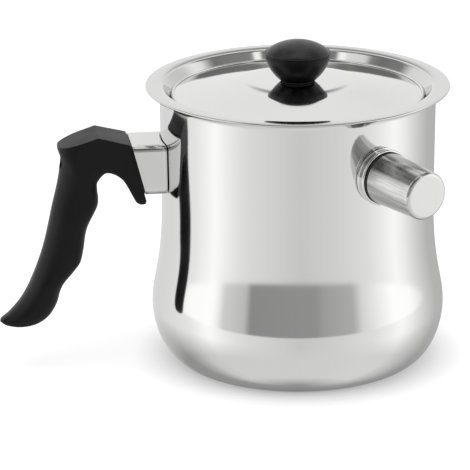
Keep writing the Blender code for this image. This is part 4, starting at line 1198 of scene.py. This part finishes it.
class BOILER_OT_fasteners(Operator):
    """Build the screws and washers of the handle and the knob"""
    bl_idname = "boiler.fasteners"
    bl_label = "Fasteners"

    def execute(self, context):
        pot = context.scene.boiler_pot
        lid = context.scene.boiler_lid
        handle = context.scene.boiler_handle
        place = screw_matrix(handle)
        hole = handle.screw_radius + GAP
        end = -(seam_top(pot, handle) + handle.counterbore) - GAP
        start = end - handle.washer
        flat = washer_piece("long_screw_washer", handle.washer_radius, hole, start, end, place)
        fit_out(flat, "pot", ["handle_washer"], "plain")
        seat = start - 2 * GAP - handle.lock_washer
        plate = pot.neck_radius + GAP + handle.bracket_sheet
        screw = screw_piece(
            "long_screw", handle.screw_radius, handle.head_radius, handle.head,
            -seat - plate - handle.screw_space, place @ Matrix.Translation((0, 0, seat)),
        )
        fit_out(screw, "pot", ["handle_screw"], "plain")

        hole = lid.screw_radius + GAP
        end = lid_top(pot, lid) - lid.sheet - GAP
        start = end - lid.washer
        flat = washer_piece("lid_washer", lid.washer_radius, hole, start, end, Matrix())
        fit_out(flat, "lid", ["knob_washer"], "plain")
        insert_top = knob_foot(pot, lid) + lid.insert
        seat = start - GAP
        screw = screw_piece(
            "lid_screw", lid.screw_radius, lid.head_radius, lid.head,
            insert_top - seat - lid.washer, Matrix.Translation((0, 0, seat)),
        )
        fit_out(screw, "lid", ["knob_screw"], "plain")
        return {"FINISHED"}


class BOILER_OT_kept_solids(Operator):
    """Give the solids that stay as they are their materials"""
    bl_idname = "boiler.kept_solids"
    bl_label = "Kept solids"

    def execute(self, context):
        finishes = {
            "handle_bracket": "plain", "handle_lock_washer": "plain", "knob_insert": "brass",
            "knob_gasket": "fibre", "whistle_plate_inner": "aluminium",
            "whistle_plate_outer": "aluminium", "whistle_spacer": "aluminium",
        }
        for name, finish in finishes.items():
            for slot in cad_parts[name].material_slots:
                slot.material = material(finish)
        return {"FINISHED"}


# Stage

# Surroundings by direction: degrees round from the camera's side, and brightness there.
WHITE = (1, 1, 1, 1)
TOP_LIGHT = 1.3       # brightest place that mirrors see
FLAT_LIGHT = 0.85     # what lights the matt pieces
TABLE_BANDS = (
    (-180, 0.62), (-164, 0.78), (-143, 0.81), (-119, 0.89), (-94, 1.00), (-80, 1.16), (-73, 1.25),
    (-61, 1.09), (-50, 0.96), (-39, 0.88), (-18, 0.80), (2, 0.72), (17, 0.76), (37, 0.82),
    (60, 0.92), (78, 1.10), (88, 1.21), (99, 1.08), (107, 0.94), (116, 0.80), (126, 0.68),
    (138, 0.56), (156, 0.52), (168, 0.46), (180, 0.62),
)
ROOM_BANDS = (
    (-180, 0.95), (-120, 0.92), (-92, 1.25), (-70, 1.28), (-64, 1.05), (-60, 0.78), (-42, 0.62),
    (-37, 0.32), (14, 0.35), (20, 0.42), (44, 0.52), (52, 0.85), (62, 1.00), (80, 1.28),
    (100, 1.26), (125, 0.80), (140, 0.75), (180, 0.95),
)
HIGH_BANDS = (
    (-180, 0.95), (-150, 0.90), (-132, 0.40), (-122, 0.26), (-104, 0.24), (-94, 0.34), (-88, 0.80),
    (-66, 0.90), (-62, 1.30), (-56, 1.30), (-53, 0.26), (-20, 0.14), (20, 0.14), (49, 0.26),
    (52, 1.30), (58, 1.30), (61, 0.30), (90, 0.32), (104, 0.85), (116, 1.10), (130, 1.05),
    (150, 0.92), (180, 0.95),
)
TOP_BANDS = (
    (-180, 0.98), (-160, 0.90), (-148, 0.22), (-100, 0.20), (-90, 0.30), (-84, 0.90), (-66, 0.95),
    (-62, 1.30), (-56, 1.30), (-53, 0.26), (-20, 0.12), (20, 0.12), (49, 0.26), (52, 1.30),
    (58, 1.30), (61, 0.28), (90, 0.26), (100, 0.22), (146, 0.22), (160, 0.90), (180, 0.98),
)
LOW_BANDS = (
    (-180, 0.28), (-150, 0.34), (-122, 0.36), (-104, 0.52), (-88, 0.72), (-70, 0.78), (-30, 0.78),
    (0, 0.78), (30, 0.79), (60, 0.82), (90, 0.82), (115, 0.62), (140, 0.40), (180, 0.28),
)

# Laid over the table's bands in this order: height in degrees where a layer starts and where it
# has taken over, and its bands or its one brightness.
LAYERS = (
    (-9.0, -7.6, ROOM_BANDS),
    (26, 33, HIGH_BANDS),
    (38, 44, TOP_BANDS),
    (60, 66, 0.22),
    (69, 78, 0.95),
    (-20, -40, LOW_BANDS),
    (-68, -88, 0.36),
)
PATCH = 0.30                 # brightness of the grey patch behind, which the far flange mirrors
PATCH_TURN = (176, 178.5)    # degrees round, to either side: where it starts, where it is whole
PATCH_FOOT = (16.9, 18.9)    # degrees up: where it starts, where it is whole
PATCH_HEAD = (26, 23.5)      # degrees up: where it ends, where it is still whole


def world_light(world, studio):
    """Surroundings by direction: white for the camera, a soft room for reflections.

    The direction's azimuth from the camera's own side goes through ramps of bright and grey
    bands, one for the table near the pot and one for each layer over or under it. A small grey
    patch stands behind the pot.
    """
    world.use_nodes = True
    tree = world.node_tree
    tree.nodes.clear()
    way = node(tree, "ShaderNodeTexCoord").outputs["Generated"]
    sine, cosine = math.sin(studio.azimuth), math.cos(studio.azimuth)
    aside, ahead = (
        node(tree, "ShaderNodeVectorMath", {0: way, 1: axis}, operation="DOT_PRODUCT").outputs["Value"]
        for axis in ((cosine, sine, 0), (sine, -cosine, 0))
    )
    around = ranged(tree, maths(tree, "ARCTAN2", aside, ahead), -math.pi, math.pi)
    lift = maths(tree, "ARCSINE", node(tree, "ShaderNodeSeparateXYZ", {0: way}).outputs[2])

    def grey(value):
        return (*[value / TOP_LIGHT] * 3, 1)

    def ramp(stops):
        made = node(tree, "ShaderNodeValToRGB", {0: around})
        elements = made.color_ramp.elements
        elements.remove(elements[-1])
        for i, (degrees, value) in enumerate(stops):
            at = (degrees + 180) / 360
            stop = elements.new(at) if i else elements[0]
            stop.position = at
            stop.color = grey(value)
        return made.outputs["Color"]

    def step(low, high):
        return ranged(tree, lift, math.radians(low), math.radians(high))

    light = ramp(TABLE_BANDS)
    for low, high, bands in LAYERS:
        layer = grey(bands) if isinstance(bands, float) else ramp(bands)
        light = mixed(tree, step(low, high), light, layer)
    turn = maths(tree, "ABSOLUTE", maths(tree, "SUBTRACT", around, 0.5))
    patch = ranged(tree, turn, *(degrees / 360 for degrees in PATCH_TURN))
    for heights in (PATCH_FOOT, PATCH_HEAD):
        patch = maths(tree, "MULTIPLY", patch, step(*heights))
    light = mixed(tree, patch, light, grey(PATCH))

    room, flat, white = (
        node(tree, "ShaderNodeBackground", {"Color": tint, "Strength": strength}).outputs[0]
        for tint, strength in ((light, TOP_LIGHT), (WHITE, FLAT_LIGHT), (WHITE, 1.0))
    )
    path = node(tree, "ShaderNodeLightPath").outputs
    shiny = maths(tree, "MAXIMUM", path["Is Glossy Ray"], path["Is Transmission Ray"])
    seen = node(tree, "ShaderNodeMixShader", {0: shiny, 1: flat, 2: room}).outputs[0]
    both = node(tree, "ShaderNodeMixShader", {0: path["Is Camera Ray"], 1: seen, 2: white})
    node(tree, "ShaderNodeOutputWorld", {"Surface": both.outputs[0]})


# Lamp: side, watts, place, and the height over the origin that it faces
LAMPS = {
    "overhead": (1.6, 9.0, (-0.3, -0.2, 1.7), 0.05),
    "side_left": (0.9, 3.0, (-1.3, -0.7, 0.9), 0.08),
    "side_right": (0.9, 3.0, (1.3, -0.9, 0.9), 0.08),
}
FLOOR_REACH = 6.0
FLOOR_DROP = 0.0001          # floor below the pot's underside
FLOOR_GLOW = 0.50            # emission away from the pot
PAINTED_SHADE = 0.40                 # share of the glow left under the pot, where the dimmed glow paints a contact shadow
PAINTED_SHADE_RADII = (0.060, 0.086)  # the painted contact shadow is whole inside the first and gone past the second


def stand(name, data, place, way):
    """Adds an object that looks along a direction from its place."""
    made = bpy.data.objects.new(name, data)
    bpy.context.scene.collection.objects.link(made)
    made.location = place
    made.rotation_mode = "QUATERNION"
    made.rotation_quaternion = way.to_track_quat("-Z", "Y")
    return made


def floor_material():
    """Plain pale floor whose glow is dimmed towards the pot: a painted contact shadow, which also lets
    the pot's own shade stay.
    """
    made = bpy.data.materials.new("Pale floor")
    made.use_nodes = True
    tree = made.node_tree
    # Distance from the pot's axis, for the painted contact shadow.
    away = node(tree, "ShaderNodeVectorMath", {0: here(tree)[0]}, operation="LENGTH")
    paint(tree, {
        "Base Color": (0.60, 0.60, 0.60, 1), "Emission Strength": FLOOR_GLOW,
        "Emission Color": ranged(tree, away.outputs["Value"], *PAINTED_SHADE_RADII, PAINTED_SHADE),
        "Roughness": 0.9, "Specular IOR Level": 0.0,
    })
    return made


class BOILER_OT_stage(Operator):
    """Set up the floor, the surroundings, the lamps and the camera"""
    bl_idname = "boiler.stage"
    bl_label = "Stage"

    def execute(self, context):
        scene = context.scene
        studio = scene.boiler_studio
        scene.view_settings.view_transform = "Standard"
        scene.world = scene.world or bpy.data.worlds.new("Surroundings")
        world_light(scene.world, studio)

        corners = np.array([(-1, -1, 0), (1, -1, 0), (1, 1, 0), (-1, 1, 0)]) * FLOOR_REACH
        mesh = bpy.data.meshes.new("floor")
        mesh.from_pydata(corners, [], [(0, 1, 2, 3)])
        mesh.materials.append(floor_material())
        floor = bpy.data.objects.new("floor", mesh)
        scene.collection.objects.link(floor)
        floor.location.z = -FLOOR_DROP
        floor.visible_glossy = False

        for name, (size, power, place, height) in LAMPS.items():
            light = bpy.data.lights.new(name, "AREA")
            light.shape = "SQUARE"
            light.size = size
            light.energy = power
            lamp = stand(name, light, place, Vector((0, 0, height)) - Vector(place))
            lamp.visible_glossy = False

        data = bpy.data.cameras.new("camera")
        data.sensor_width = 36.0
        data.lens = studio.lens
        data.shift_x, data.shift_y = studio.shift_x, studio.shift_y
        data.clip_start, data.clip_end = 0.05, 50.0
        back = Vector((
            math.sin(studio.azimuth) * math.cos(studio.elevation),
            -math.cos(studio.azimuth) * math.cos(studio.elevation),
            math.sin(studio.elevation),
        ))
        place = Vector((0, 0, studio.target)) + back * studio.distance
        scene.camera = stand("camera", data, place, -back)
        return {"FINISHED"}


PIECES = (
    BOILER_OT_jacket, BOILER_OT_vessel, BOILER_OT_filler, BOILER_OT_whistle, BOILER_OT_lid,
    BOILER_OT_knob, BOILER_OT_ferrule, BOILER_OT_grip, BOILER_OT_fasteners,
    BOILER_OT_kept_solids, BOILER_OT_stage,
)


class BOILER_PT_panel(Panel):
    """Lists the pieces of the milk boiler"""
    bl_idname = "BOILER_PT_panel"
    bl_label = "Milk Boiler"
    bl_space_type = "VIEW_3D"
    bl_region_type = "UI"
    bl_category = "Milk Boiler"

    def draw(self, context):
        column = self.layout.column(align=True)
        for operator in PIECES:
            column.operator(operator.bl_idname)


GROUPS = {
    "boiler_pot": PotSizes, "boiler_filler": FillerSizes, "boiler_lid": LidSizes,
    "boiler_handle": HandleSizes, "boiler_finishes": Finishes, "boiler_studio": StudioSettings,
}


def register():
    for group in GROUPS.values():
        bpy.utils.register_class(group)
    for name, group in GROUPS.items():
        setattr(bpy.types.Scene, name, PointerProperty(type=group))
    for operator in PIECES:
        bpy.utils.register_class(operator)
    bpy.utils.register_class(BOILER_PT_panel)


def unregister():
    bpy.utils.unregister_class(BOILER_PT_panel)
    for operator in reversed(PIECES):
        bpy.utils.unregister_class(operator)
    for name in GROUPS:
        delattr(bpy.types.Scene, name)
    for group in reversed(GROUPS.values()):
        bpy.utils.unregister_class(group)


def main():
    register()
    bpy.ops.boiler.jacket()
    bpy.ops.boiler.vessel()
    bpy.ops.boiler.filler()
    bpy.ops.boiler.whistle()
    bpy.ops.boiler.lid()
    bpy.ops.boiler.knob()
    bpy.ops.boiler.ferrule()
    bpy.ops.boiler.grip()
    bpy.ops.boiler.fasteners()
    bpy.ops.boiler.kept_solids()
    bpy.ops.boiler.stage()


if __name__ == "__main__":
    main()
